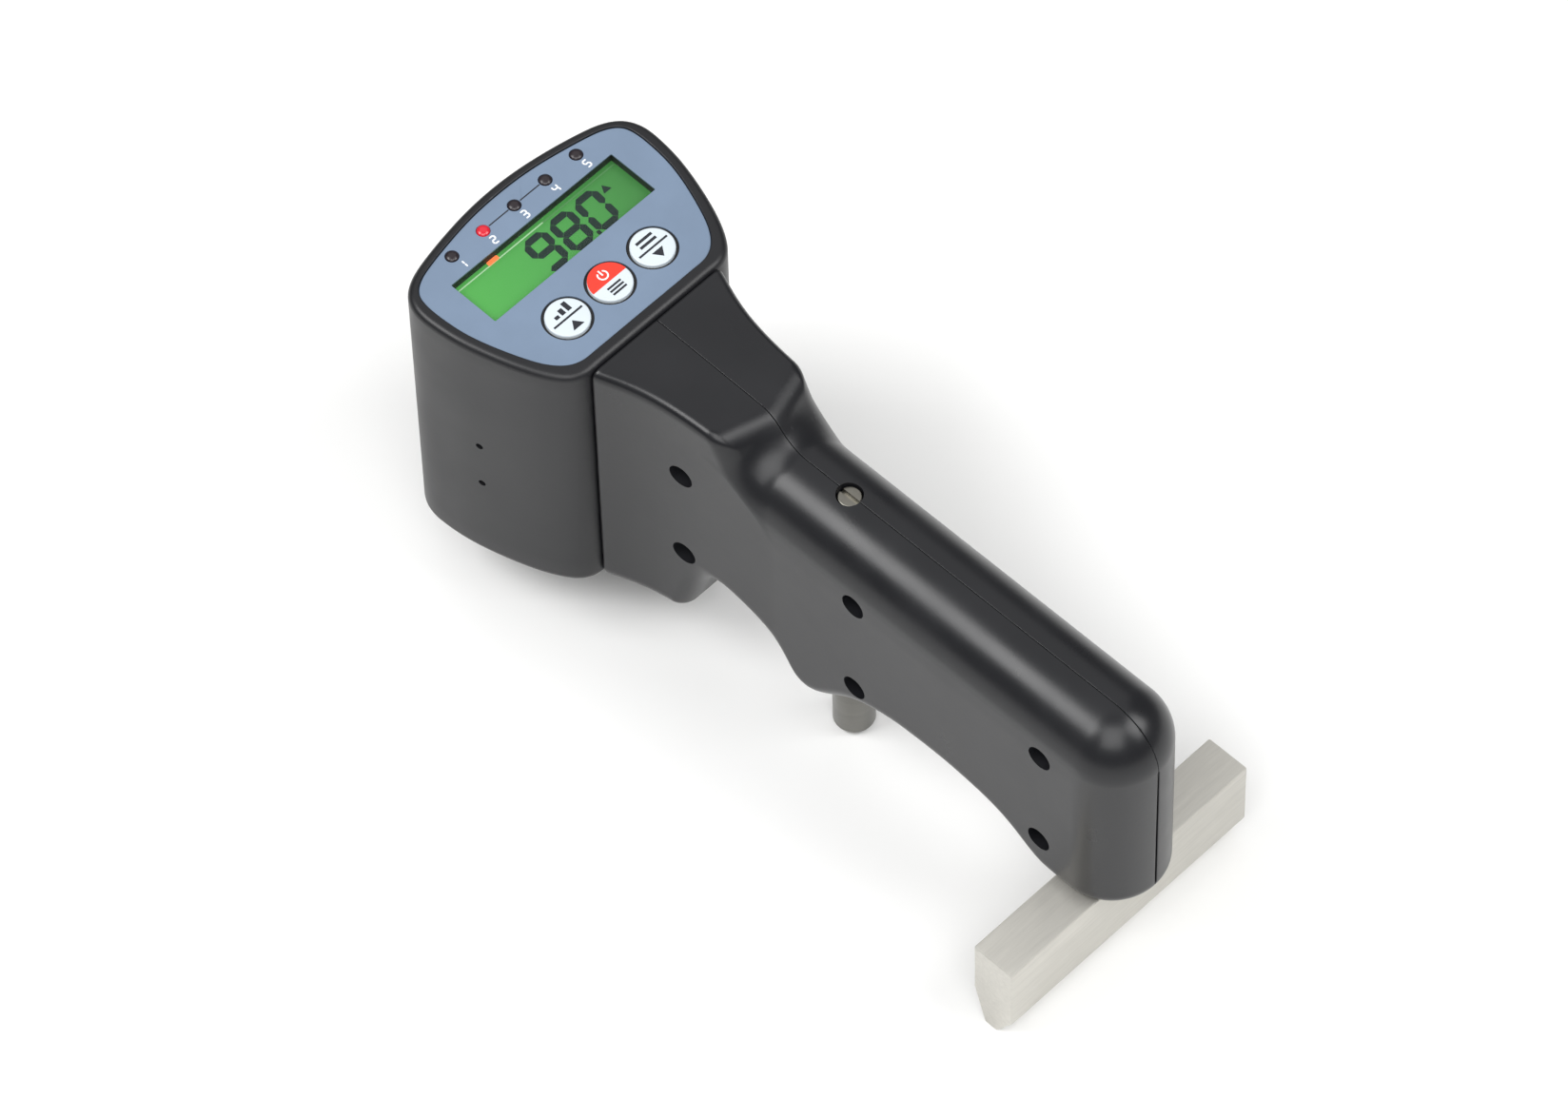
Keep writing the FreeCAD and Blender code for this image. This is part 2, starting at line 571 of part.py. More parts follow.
def void_shape():
    """Room inside neck and grip, made of flats and one round top."""
    wl = D("shell_wall")
    half = D("grip_half") - wl
    xe = D("grip_end_x")
    up = [V(x, y, 0) for x, y in VOID_PLAN] + [V(xe, half, 0)]
    lowp = [V(p.x, -p.y, 0) for p in reversed(up)]
    edges = [Part.makeLine(up[i], up[i + 1]) for i in range(len(up) - 1)]
    edges.append(Part.Arc(up[-1], V(xe + half, 0, 0), lowp[0]).toShape())
    edges += [Part.makeLine(lowp[i], lowp[i + 1]) for i in range(len(lowp) - 1)]
    edges.append(Part.makeLine(lowp[-1], up[0]))
    plan = Part.Face(Part.Wire(edges)).extrude(V(0, 0, 100))
    top = [V(175, 77.6, 0), V(45.4, 77.6, 0)]
    side = [V(x, z, 0) for x, z in VOID_SIDE] + top
    f = Part.Face(Part.makePolygon(side + [side[0]]))
    f.rotate(V(0, 0, 0), V(1, 0, 0), 90)
    f.translate(V(0, 40, 0))
    s = plan.common(f.extrude(V(0, -80, 0)))
    # round roof over the grip
    zc = D("grip_top") - wl - half
    wall_in = half + 2.0
    roof = Part.Face(Part.Wire([
        Part.makeLine(V(66, -wall_in, 0), V(66, wall_in, 0)),
        Part.makeLine(V(66, wall_in, 0), V(66, wall_in, zc)),
        Part.makeLine(V(66, wall_in, zc), V(66, half, zc)),
        Part.Arc(V(66, half, zc), V(66, 0, zc + half), V(66, -half, zc)).toShape(),
        Part.makeLine(V(66, -half, zc), V(66, -wall_in, zc)),
        Part.makeLine(V(66, -wall_in, zc), V(66, -wall_in, 0))])).extrude(V(120, 0, 0))
    return s.common(roof.fuse(box(40, 66.5, -40, 40, 0, 100)))


def belly_edges(e):
    b = e.BoundBox
    if b.ZMax > 34.5 or b.XLength < 0.5:
        return False
    # edges that run along the side walls, or round the end
    if b.ZLength < 1e-3 and b.YLength < 1e-3 and b.XLength < 1e-3:
        return False
    if b.XMin > 60 and b.YLength > 20 and b.XLength < 1:
        return False
    return True


def neck_block():
    """Upper block of the neck, cut behind by the two ridge faces."""
    zf, zb = D("neck_top_front"), D("neck_top_back")
    xf = D("neck_front")
    prism = plan_face(0).extrude(V(0, 0, 100))
    blk = prism.common(box(xf, 82.0, -30, 30, 50.0, 100.0))
    # sloping top
    xm, xs = D("ridge_mid_x"), D("ridge_side_x")
    slope = (zf - zb) / (xm - xf)
    t = Part.makePolygon([V(xf - 5, -40, zf + 5 * slope), V(95, -40, zf - (95 - xf) * slope), V(95, -40, 130),
                          V(xf - 5, -40, 130), V(xf - 5, -40, zf + 5 * slope)])
    blk = blk.cut(Part.Face(t).extrude(V(0, 80, 0)))
    # ridge faces
    for s in (-1, 1):
        a = V(xm, 0, zb)
        b = V(xs, s * 12.0, zb + 0.08)
        c = V(80.2, s * 11.2, 59.0)
        n = (b - a).cross(c - a)
        if n.x < 0:
            n = n * -1
        n.normalize()
        base = a
        # half space behind the face, limited to one side of the middle
        u = V(0, 1, 0) - n * n.y
        u.normalize()
        w = n.cross(u)
        corners = [base + u * i * 60 + w * j * 60 for i, j in ((-1, -1), (1, -1), (1, 1), (-1, 1))]
        f = Part.Face(Part.makePolygon(corners + [corners[0]]))
        half = f.extrude(n * 60)
        lim = box(0, 200, 0, 60, 0, 200) if s > 0 else box(0, 200, -60, 0, 0, 200)
        blk = blk.cut(half.common(lim))
    return blk.Solids[0] if blk.Solids else blk


outer_low = lower_body()
outer_low = rounded(outer_low, belly_edges, [D("belly_round"), 2.6, 2.0, 1.4, 0.8])
upper = neck_block()
ztop = D("neck_top_back")
upper = rounded(upper, lambda e: e.BoundBox.ZMin > ztop - 0.4 and not (e.BoundBox.XLength < 1e-3), [1.4, 1.0, 0.6, 0.3])
outer = outer_low.fuse(upper)
if len(outer.Solids) > 1:
    outer = max(outer.Solids, key=lambda q: q.Volume)
else:
    outer = outer.Solids[0]


def is_blend(e):
    """Curves where the ridge faces run into the round top of the grip."""
    b = e.BoundBox
    return b.XMin > 72 and b.XMax < 84 and b.ZMin > 55 and b.ZMax < 75 and b.YLength > 3


gap = D("part_gap") / 2
half_near = outer.common(box(0, 200, -40, -gap, 0, 120)).Solids[0]
half_near = rounded(half_near, is_blend, [4.5, 3.5, 2.5, 1.5, 0.8])

void = void_shape()

SCREWS = []
for k in ("one", "two", "three"):
    for lv in ("hi", "lo"):
        SCREWS.append((D("screw_x_" + k), D("screw_%s_%s" % (lv, k))))
px = D("point_x")
fh = D("frame_half")
head_fix = [(yy, zz) for yy in (-7.5, 7.5) for zz in (27.0, 68.0)]


def shell_half(half):
    solid = half.cut(void)
    for sx, sz in SCREWS:
        solid = solid.fuse(cyl(sx, -20, sz, D("boss_dia") / 2, 40, "Y").common(half))
    for yy, zz in head_fix:
        solid = solid.fuse(cyl(44, yy, zz, 2.6, 8.0, "X").common(half))
    # openings: sleeve, load screw, frame leg, cable, head screws
    solid = solid.cut(cyl(px, 0, 10, D("sleeve_dia") / 2 + 0.15, 20))
    solid = solid.cut(cyl(px, 0, 64, D("load_dia") / 2 + 0.12, 15))
    solid = solid.cut(box(D("leg_x") - 0.2, D("leg_x") + D("leg_len") + 0.2, -fh - 0.15, fh + 0.15, 20, 30))
    solid = solid.cut(cyl(40, 0, 48, 4.0, 10, "X"))
    for yy, zz in head_fix:
        solid = solid.cut(cyl(41, yy, zz, 0.95, 9.5, "X"))
    return max(solid.Solids, key=lambda q: q.Volume)


near = shell_half(half_near)
far = near.mirror(V(0, 0, 0), V(0, 1, 0))
for sx, sz in SCREWS:
    rr = D("recess_dia") / 2
    # recess and clearance hole in the near half, pilot hole in the far half
    face_y = -(D("grip_half") if sx > 80 else 13.0)
    near = near.cut(cyl(sx, -30, sz, rr, 30 + face_y + D("recess_depth"), "Y"))
    near = near.cut(cyl(sx, -30, sz, 1.4, 31, "Y"))
    far = far.cut(cyl(sx, -1, sz, 1.05, 8.5, "Y"))


def largest(s):
    return max(s.Solids, key=lambda q: q.Volume)


feature("grip_shell_near", clean(largest(near)))
feature("grip_shell_far", clean(largest(far)))

sc = []
for sx, sz in SCREWS:
    face_y = -(D("grip_half") if sx > 80 else 13.0)
    y0 = face_y + D("recess_depth")
    head = cyl(sx, y0 - 1.6, sz, 2.3, 1.6, "Y")
    shank = cyl(sx, y0 - 0.1, sz, 1.0, 6.9 - y0, "Y")
    s = head.fuse(shank)
    s = s.cut(box(sx - 1.5, sx + 1.5, y0 - 3, y0 - 0.8, sz - 0.3, sz + 0.3))
    s = s.cut(box(sx - 0.3, sx + 0.3, y0 - 3, y0 - 0.8, sz - 1.5, sz + 1.5))
    sc.append(s)
feature("shell_screws", Part.makeCompound(sc))
hs = []
for yy in (-7.5, 7.5):
    for zz in (27.0, 68.0):
        xh = D("head_back") - wall
        s = cyl(xh - 1.8, yy, zz, 2.4, 1.8, "X").fuse(cyl(xh - 0.1, yy, zz, 0.93, 9.5, "X"))
        s = s.cut(box(xh - 3, xh - 0.9, yy - 0.3, yy + 0.3, zz - 1.6, zz + 1.6))
        s = s.cut(box(xh - 3, xh - 0.9, yy - 1.6, yy + 1.6, zz - 0.3, zz + 0.3))
        hs.append(s)
feature("head_screws", Part.makeCompound(hs))

# ---------------------------------------------------------------- foot bar
fb = doc.addObject("PartDesign::Body", "foot_bar")
sk = fb.newObject("Sketcher::SketchObject", "foot_bar_profile")
sk.AttachmentSupport = [(plane_of(fb, "XZ_Plane"), "")]
sk.MapMode = "FlatFace"
PROFILE = [("dims.bar_x", "dims.bar_top"), ("dims.bar_x", "dims.bar_slope_front"),
           ("dims.bar_ridge_front", "0"), ("dims.bar_ridge_back", "0"),
           ("dims.bar_x + dims.bar_thick", "dims.bar_slope_back"), ("dims.bar_x + dims.bar_thick", "dims.bar_top")]
vals = [(D("bar_x"), D("bar_top")), (D("bar_x"), D("bar_slope_front")), (D("bar_ridge_front"), 0.0),
        (D("bar_ridge_back"), 0.0), (D("bar_x") + D("bar_thick"), D("bar_slope_back")),
        (D("bar_x") + D("bar_thick"), D("bar_top"))]
for i in range(6):
    a, b = vals[i], vals[(i + 1) % 6]
    sk.addGeometry(Part.LineSegment(V(a[0], a[1], 0), V(b[0], b[1], 0)), False)
for i in range(6):
    sk.addConstraint(Sketcher.Constraint("Coincident", i, 2, (i + 1) % 6, 1))
for i in range(6):
    c = sk.addConstraint(Sketcher.Constraint("DistanceX", -1, 1, i, 1, vals[i][0]))
    sk.renameConstraint(c, "px%d" % i)
    bind(sk, "Constraints.px%d" % i, PROFILE[i][0])
    if PROFILE[i][1] != "0":
        c = sk.addConstraint(Sketcher.Constraint("DistanceY", -1, 1, i, 1, vals[i][1]))
        sk.renameConstraint(c, "pz%d" % i)
        bind(sk, "Constraints.pz%d" % i, PROFILE[i][1])
    else:
        sk.addConstraint(Sketcher.Constraint("PointOnObject", i, 1, -1))
pad = fb.newObject("PartDesign::Pad", "foot_bar_pad")
pad.Profile = sk
bind(pad, "Length", "dims.bar_long")
pad.Midplane = True
doc.recompute()
th = fb.newObject("Sketcher::SketchObject", "foot_bar_taps")
th.AttachmentSupport = [(plane_of(fb, "XY_Plane"), "")]
th.MapMode = "FlatFace"
FX = D("leg_x") + D("leg_len") / 2
for k, yy in enumerate((-3.0, 3.0)):
    g = th.addGeometry(Part.Circle(V(FX, yy, 0), V(0, 0, 1), 1.3), False)
    th.addConstraint(Sketcher.Constraint("Radius", g, 1.3))
    th.addConstraint(Sketcher.Constraint("DistanceX", -1, 1, g, 3, FX))
    th.addConstraint(Sketcher.Constraint("DistanceY", -1, 1, g, 3, yy))
doc.recompute()
th.AttachmentOffset = FreeCAD.Placement(V(0, 0, D("bar_top")), FreeCAD.Rotation())
pk = fb.newObject("PartDesign::Pocket", "foot_bar_tap_pocket")
pk.Profile = th
pk.Length = 9.0
doc.recompute()
if pk.Shape.Volume >= pad.Shape.Volume - 1e-6:
    pk.Reversed = True
    doc.recompute()
ch = fb.newObject("PartDesign::Chamfer", "foot_bar_edges")
ch.Base = (pk, ["Edge%d" % (k + 1) for k, e in enumerate(pk.Shape.Edges)
                if not isinstance(e.Curve, Part.Circle) and (e.BoundBox.YLength > 10 or (e.BoundBox.ZMin > 1.0))])
bind(ch, "Size", "dims.bar_edge")
doc.recompute()
fb.Tip = ch
keep(fb, "foot_bar")

# ---------------------------------------------------------------- frame in the grip
ch_ = D("column_half")
frame = box(px - ch_, px + ch_, -fh, fh, D("frame_low"), D("column_top"))
frame = frame.fuse(box(px, 158, -fh, fh, D("beam_low"), D("beam_top")))
frame = frame.fuse(box(D("leg_x"), D("leg_x") + D("leg_len"), -fh, fh, D("bar_top"), D("beam_top")))
frame = frame.fuse(box(64.6, px, -fh, fh, 47.6, D("beam_top")))
frame = frame.fuse(box(77.0, px, -5.0, 5.0, 37.4, 50.0))
frame = clean(frame)
frame = frame.cut(cyl(px, 0, D("frame_low") - 1, D("sleeve_dia") / 2, D("sleeve_top") - D("frame_low") + 1.6))
frame = frame.cut(cyl(px, 0, D("sleeve_top") + 0.5, D("spring_bore") / 2, D("spring_top") + D("seat_thick") + 0.6 - D("sleeve_top") - 0.5))
frame = frame.cut(cyl(px, 0, 55, D("load_dia") / 2 + 0.06, 20))
frame = frame.cut(box(70, px, -2.0, 2.0, 36, 46.6))
frame = frame.cut(cyl(D("lever_x"), -10, D("lever_z"), D("lever_pin_dia") / 2, 20, "Y"))
frame = frame.cut(cyl(D("sensor_x"), 0, 40, D("sensor_dia") / 2 + 0.02, 30))
for yy in (-3.0, 3.0):
    frame = frame.cut(cyl(FX, yy, 20, 1.65, 40))
    frame = frame.cut(cyl(FX, yy, D("beam_top") - 3.0, 2.9, 5))
# windows that lighten the beam
frame = frame.cut(box(108, 122, -8, 8, D("beam_low") + 2.6, D("beam_top") - 2.6))
frame = frame.cut(box(126, 140, -8, 8, D("beam_low") + 2.6, D("beam_top") - 2.6))
feature("main_frame", clean(frame))

fs = []
for yy in (-3.0, 3.0):
    s = cyl(FX, yy, D("beam_top") - 2.9, 2.7, 2.6).fuse(cyl(FX, yy, D("bar_top") - 8.0, 1.29, D("beam_top") - 2.8 - D("bar_top") + 8.0))
    s = s.cut(cyl(FX, yy, D("beam_top") - 1.9, 1.2, 4))
    fs.append(s)
feature("foot_screws", Part.makeCompound(fs))

# ---------------------------------------------------------------- sleeve, point, load train
sleeve = doc.addObject("Part::Cylinder", "sleeve_blank")
bind(sleeve, "Radius", "dims.sleeve_dia / 2")
bind(sleeve, "Height", "dims.sleeve_top - dims.travel")
sleeve.Placement.Base = V(px, 0, D("travel"))
bore = doc.addObject("Part::Cylinder", "sleeve_bore")
bind(bore, "Radius", "dims.plunger_bore / 2")
bind(bore, "Height", "dims.sleeve_top + 4")
bore.Placement.Base = V(px, 0, -2)
cut = doc.addObject("Part::Cut", "sleeve_cut")
cut.Base = sleeve
cut.Tool = bore
doc.recompute()
cham = doc.addObject("Part::Chamfer", "point_sleeve")
cham.Base = cut
cham.Edges = [(k + 1, 0.45, 0.45) for k, e in enumerate(cut.Shape.Edges)
              if isinstance(e.Curve, Part.Circle) and abs(e.Curve.Radius - D("sleeve_dia") / 2) < 1e-3 and e.BoundBox.ZMax < 5]
doc.recompute()
keep(cham, "point_sleeve")

nut = Part.Face(Part.makePolygon([V(px + 5.8 * math.cos(math.radians(60 * i + 30)), 5.8 * math.sin(math.radians(60 * i + 30)), 25.9)
                                  for i in range(7)])).extrude(V(0, 0, 3.0))
nut = nut.cut(cyl(px, 0, 20, D("sleeve_dia") / 2, 12))
feature("sleeve_lock_nut", nut)

pr = D("plunger_dia") / 2
ang = math.radians(D("point_angle") / 2)
cone_h = (pr - 0.25 - D("point_flat") / 2) / math.tan(ang)
cone = Part.makeCone(D("point_flat") / 2, pr - 0.25, cone_h, V(px, 0, 0))
shank = cyl(px, 0, cone_h, pr - 0.25, 6.0)
feature("indenter_point", clean(cone.fuse(shank)))
plz = cone_h + 0.8
rod = cyl(px, 0, plz, pr, D("collar_low") + 0.5 - plz)
rod = rod.fuse(cyl(px, 0, D("collar_low"), D("collar_dia") / 2, D("collar_thick")))
rod = rod.fuse(cyl(px, 0, D("collar_low"), 1.9, D("collar_thick") + 5.0))
rod = rod.cut(cyl(px, 0, plz - 1, pr - 0.25, cone_h + 6.0 - plz + 1))
feature("plunger", clean(rod))

z0s, z1s = D("collar_low") + D("collar_thick"), D("spring_top")
turns = 6.0
wr = D("spring_wire") / 2
pitch_s = (z1s - z0s - 2 * wr - 0.1) / turns
hx = Part.makeHelix(pitch_s, pitch_s * turns, D("spring_mean") / 2)
prof = Part.Wire(Part.makeCircle(wr, V(D("spring_mean") / 2, 0, 0), V(0, 1, 0)))
coil = Part.Wire(hx.Edges).makePipeShell([prof], True, True)
coil.translate(V(px, 0, z0s + wr + 0.05))
feature("load_spring", coil)

feature("spring_seat", cyl(px, 0, D("spring_top"), 4.3, D("seat_thick")).cut(cyl(px, 0, D("spring_top") + 1.2, 1.3, 2)))
ls0 = D("spring_top") + D("seat_thick") + 0.05
ls = cyl(px, 0, ls0, D("load_dia") / 2, D("load_top") - ls0)
ls = rounded(ls, lambda e: abs(e.BoundBox.ZMin - D("load_top")) < 1e-4, [0.25])
ls = ls.cut(box(px - 4, px + 4, -D("slot_wide") / 2, D("slot_wide") / 2, D("load_top") - D("slot_deep"), 80))
feature("load_screw", ls)

# ---------------------------------------------------------------- lever and sensor
lx, lz = D("lever_x"), D("lever_z")
lt = D("lever_thick")
lev = cyl(lx, -1.5, lz, 2.3, 3.0, "Y")
lev = lev.fuse(box(lx - 0.5, lx + D("lever_rear") - 0.4, -1.3, 1.3, lz - 0.8, lz + 0.5))
lev = lev.fuse(cyl(lx + D("lever_rear") - 0.4, -1.5, lz + 0.2, 1.1, 3.0, "Y"))
lev = lev.fuse(box(lx - D("lever_fore") - 0.4, lx + 0.2, -1.2, 1.2, lz - 0.9, lz + 0.8))
lev = lev.fuse(cyl(lx - D("lever_fore"), -1.5, lz + 0.1, 1.3, 3.0, "Y"))
lev = lev.cut(cyl(lx, -3, lz, D("lever_pin_dia") / 2 + 0.03, 6, "Y"))
feature("transfer_lever", clean(lev))
feature("lever_pin", cyl(lx, -5.6, lz, D("lever_pin_dia") / 2, 11.2, "Y"))
sb = cyl(D("sensor_x"), 0, 46.0, D("sensor_dia") / 2, 18.0)
sb = sb.fuse(cyl(D("sensor_x"), 0, D("beam_top"), D("sensor_dia") / 2 + 0.9, 1.2))
sb = sb.cut(cyl(D("sensor_x"), 0, 44, D("core_dia") / 2 + 0.1, 16))
feature("sensor_body", sb)
feature("sensor_core", cyl(D("sensor_x"), 0, lz + 1.5, D("core_dia") / 2, 12.0))

# ---------------------------------------------------------------- checks and export
doc.recompute()
for o in doc.Objects:
    st = [x for x in o.State if x in ("Invalid", "Error")]
    if st:
        raise RuntimeError("%s: %s" % (o.Name, st))
bad = [o.Label for o in EXPORT if o.Shape.isNull() or not o.Shape.isValid() or not o.Shape.Solids]
if bad:
    raise RuntimeError("bad shapes: " + ", ".join(bad))
for o in EXPORT:
    o.Shape.exportStep("parts/%s.step" % o.Label)
    bb = o.Shape.BoundBox
    print("%-18s solids %d  vol %8.1f  x %.1f..%.1f y %.1f..%.1f z %.1f..%.1f" % (
        o.Label, len(o.Shape.Solids), o.Shape.Volume, bb.XMin, bb.XMax, bb.YMin, bb.YMax, bb.ZMin, bb.ZMax))
print("parts", len(EXPORT))
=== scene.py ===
import bpy, bmesh, math
import numpy as np
from mathutils import Matrix, Vector


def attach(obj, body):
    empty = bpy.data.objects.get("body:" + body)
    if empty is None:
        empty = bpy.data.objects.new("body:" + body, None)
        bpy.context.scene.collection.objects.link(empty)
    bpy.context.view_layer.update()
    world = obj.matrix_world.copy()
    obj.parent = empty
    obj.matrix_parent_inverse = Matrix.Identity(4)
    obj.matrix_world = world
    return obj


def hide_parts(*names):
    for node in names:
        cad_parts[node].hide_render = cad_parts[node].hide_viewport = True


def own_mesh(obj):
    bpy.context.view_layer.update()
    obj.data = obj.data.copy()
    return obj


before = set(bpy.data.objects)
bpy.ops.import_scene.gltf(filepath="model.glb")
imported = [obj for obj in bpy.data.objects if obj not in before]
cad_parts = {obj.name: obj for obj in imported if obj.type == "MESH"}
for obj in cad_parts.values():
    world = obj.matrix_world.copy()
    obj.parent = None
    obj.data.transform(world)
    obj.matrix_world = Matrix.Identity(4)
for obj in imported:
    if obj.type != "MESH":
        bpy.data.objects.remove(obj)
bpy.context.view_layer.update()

# Lengths below are millimetres measured from the front of the head; P() turns
# them into the row frame in metres.
XM = 85.0
K = math.tan(math.radians(1.289))      # lean of the head's panel
TILT = math.radians(1.289)
scene = bpy.context.scene
COLL = scene.collection
scene.view_settings.view_transform = "Standard"


def P(a):
    a = np.asarray(a, float)
    b = a.copy()
    b[..., 0] -= XM
    return b * 0.001


# ------------------------------------------------------------------ materials
def material(name):
    m = bpy.data.materials.new(name)
    m.use_nodes = True
    nt = m.node_tree
    return m, nt, nt.nodes["Principled BSDF"]


def coords(nt, scale):
    tc = nt.nodes.new("ShaderNodeTexCoord")
    mp = nt.nodes.new("ShaderNodeMapping")
    mp.inputs["Scale"].default_value = scale if isinstance(scale, (tuple, list)) else (scale,) * 3
    nt.links.new(tc.outputs["Object"], mp.inputs["Vector"])
    return mp.outputs["Vector"]


def noise(nt, vec, scale, detail=3.0, rough=0.55):
    n = nt.nodes.new("ShaderNodeTexNoise")
    n.inputs["Scale"].default_value = scale
    n.inputs["Detail"].default_value = detail
    n.inputs["Roughness"].default_value = rough
    nt.links.new(vec, n.inputs["Vector"])
    return n.outputs["Fac"]


def ramp(nt, fac, stops):
    r = nt.nodes.new("ShaderNodeValToRGB")
    els = r.color_ramp.elements
    while len(els) < len(stops):
        els.new(0.5)
    for e, (pos, col) in zip(els, stops):
        e.position = pos
        e.color = col if len(col) == 4 else (*col, 1.0)
    nt.links.new(fac, r.inputs["Fac"])
    return r.outputs["Color"]


def spread(nt, fac, lo, hi, f0=0.3, f1=0.7):
    m = nt.nodes.new("ShaderNodeMapRange")
    m.inputs["From Min"].default_value = f0
    m.inputs["From Max"].default_value = f1
    m.inputs["To Min"].default_value = lo
    m.inputs["To Max"].default_value = hi
    nt.links.new(fac, m.inputs["Value"])
    return m.outputs["Result"]


def bump(nt, bsdf, facs):
    """facs: list of (value socket, strength, distance in m)."""
    prev = None
    for fac, strength, dist in facs:
        b = nt.nodes.new("ShaderNodeBump")
        b.inputs["Strength"].default_value = strength
        b.inputs["Distance"].default_value = dist
        nt.links.new(fac, b.inputs["Height"])
        if prev is not None:
            nt.links.new(prev, b.inputs["Normal"])
        prev = b.outputs["Normal"]
    nt.links.new(prev, bsdf.inputs["Normal"])


def paint_edge_highlight(nt, base, edge, width):
    """Painted highlight: lighter colour where the surface turns sharply, standing in for light caught on the edges.
    """
    geo = nt.nodes.new("ShaderNodeNewGeometry")
    r = nt.nodes.new("ShaderNodeMapRange")
    r.inputs["From Min"].default_value = 0.5 + width
    r.inputs["From Max"].default_value = 0.5 + width * 4
    nt.links.new(geo.outputs["Pointiness"], r.inputs["Value"])
    mx = nt.nodes.new("ShaderNodeMix")
    mx.data_type = "RGBA"
    nt.links.new(r.outputs["Result"], mx.inputs[0])
    nt.links.new(base, mx.inputs[6])
    mx.inputs[7].default_value = edge
    return mx.outputs[2]


def mat_case(name="case_satin", tone=1.0, rough=0.42):
    m, nt, b = material(name)
    v = coords(nt, 1.0)
    big = noise(nt, v, 60.0, 3.0)
    fine = noise(nt, v, 2600.0, 2.0, 0.6)
    mid = noise(nt, v, 900.0, 3.0, 0.5)
    col = ramp(nt, big, [(0.3, (0.0085 * tone, 0.0088 * tone, 0.0105 * tone)), (0.7, (0.0115 * tone, 0.0118 * tone, 0.0138 * tone))])
    # painted highlight along the sharp edges of the case
    col = paint_edge_highlight(nt, col, (0.03, 0.03, 0.034, 1), 0.06)
    nt.links.new(col, b.inputs["Base Color"])
    nt.links.new(spread(nt, big, rough - 0.03, rough + 0.05), b.inputs["Roughness"])
    b.inputs["Specular IOR Level"].default_value = 0.40
    bump(nt, b, [(mid, 0.10, 0.00006), (fine, 0.16, 0.00003)])
    return m


def mat_plain(name, color, rough=0.5, metallic=0.0, var=0.08, grain=1500.0, strength=0.08, coat=0.0, emis=None):
    m, nt, b = material(name)
    v = coords(nt, 1.0)
    n = noise(nt, v, 90.0, 3.0)
    c0 = tuple(max(0.0, c * (1 - var)) for c in color)
    c1 = tuple(min(1.0, c * (1 + var)) for c in color)
    nt.links.new(ramp(nt, n, [(0.3, c0), (0.7, c1)]), b.inputs["Base Color"])
    nt.links.new(spread(nt, n, rough * 0.9, min(1.0, rough * 1.12)), b.inputs["Roughness"])
    b.inputs["Metallic"].default_value = metallic
    if coat:
        b.inputs["Coat Weight"].default_value = coat
        b.inputs["Coat Roughness"].default_value = 0.08
    if emis:
        b.inputs["Emission Color"].default_value = (*emis[0], 1)
        b.inputs["Emission Strength"].default_value = emis[1]
    bump(nt, b, [(noise(nt, v, grain, 2.0), strength, 0.00004)])
    return m


def mat_steel(name, color=(0.60, 0.575, 0.54), rough=0.27, axis=(1.0, 1.0, 1.0), scale=500.0, dent=0.08, metal=1.0):
    m, nt, b = material(name)
    v = coords(nt, axis)
    streak = noise(nt, v, scale, 4.0, 0.65)
    big = noise(nt, coords(nt, 1.0), 70.0, 3.0)
    c0 = tuple(c * 0.86 for c in color)
    nt.links.new(ramp(nt, streak, [(0.25, c0), (0.75, color)]), b.inputs["Base Color"])
    b.inputs["Metallic"].default_value = metal
    nt.links.new(spread(nt, big, rough - 0.04, rough + 0.08), b.inputs["Roughness"])
    bump(nt, b, [(streak, dent, 0.00003)])
    return m


# ------------------------------------------------------------------ mesh helpers
def make(name, verts, faces, mat, smooth=True, angle=None, body=None, mm=True):
    me = bpy.data.meshes.new(name)
    v = P(verts) if mm else np.asarray(verts, float)
    me.from_pydata([tuple(q) for q in v], [], [tuple(int(i) for i in f) for f in faces])
    me.validate()
    if smooth:
        me.shade_smooth()
        if angle is not None:
            me.set_sharp_from_angle(angle=math.radians(angle))
    else:
        me.shade_flat()
    o = bpy.data.objects.new(name, me)
    COLL.objects.link(o)
    for x in (mat if isinstance(mat, (list, tuple)) else [mat]):
        me.materials.append(x)
    if body:
        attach(o, body)
    return o


def outward(o):
    """Make the faces of a closed piece point outwards."""
    bm = bmesh.new()
    bm.from_mesh(o.data)
    bmesh.ops.recalc_face_normals(bm, faces=bm.faces)
    bm.to_mesh(o.data)
    bm.free()
    return o


def grid_faces(nr, nc, closed, base=0, flip=False):
    out = []
    last = nc if closed else nc - 1
    for i in range(nr - 1):
        for j in range(last):
            a = base + i * nc + j
            b = base + i * nc + (j + 1) % nc
            q = (a, b, b + nc, a + nc)
            out.append(q[::-1] if flip else q)
    return out


def lathe(profile, n=96, caps=True):
    """profile: (r, z) rows from bottom outside to top; returns verts, faces about the Z axis."""
    a = np.linspace(0, 2 * math.pi, n, endpoint=False)
    rows = [np.stack([r * np.cos(a), r * np.sin(a), np.full(n, z)], 1) for r, z in profile]
    v = np.concatenate(rows)
    f = grid_faces(len(profile), n, True)
    if caps:
        f.append(tuple(range(n))[::-1])
        k = (len(profile) - 1) * n
        f.append(tuple(range(k, k + n)))
    return v, f


def arc(cx, cz, r, a0, a1, n=6):
    return [(cx + r * math.cos(math.radians(a0 + (a1 - a0) * i / n)),
             cz + r * math.sin(math.radians(a0 + (a1 - a0) * i / n))) for i in range(n + 1)]


def lean(v, pivot):
    """Turn points with the leaning head, about Y through the pivot."""
    v = np.asarray(v, float) - pivot
    c, s = math.cos(TILT), math.sin(TILT)
    w = v.copy()
    w[:, 0] = c * v[:, 0] + s * v[:, 2]
    w[:, 2] = -s * v[:, 0] + c * v[:, 2]
    return w + pivot


PANEL = np.array([21.5, 0.0, 81.466])


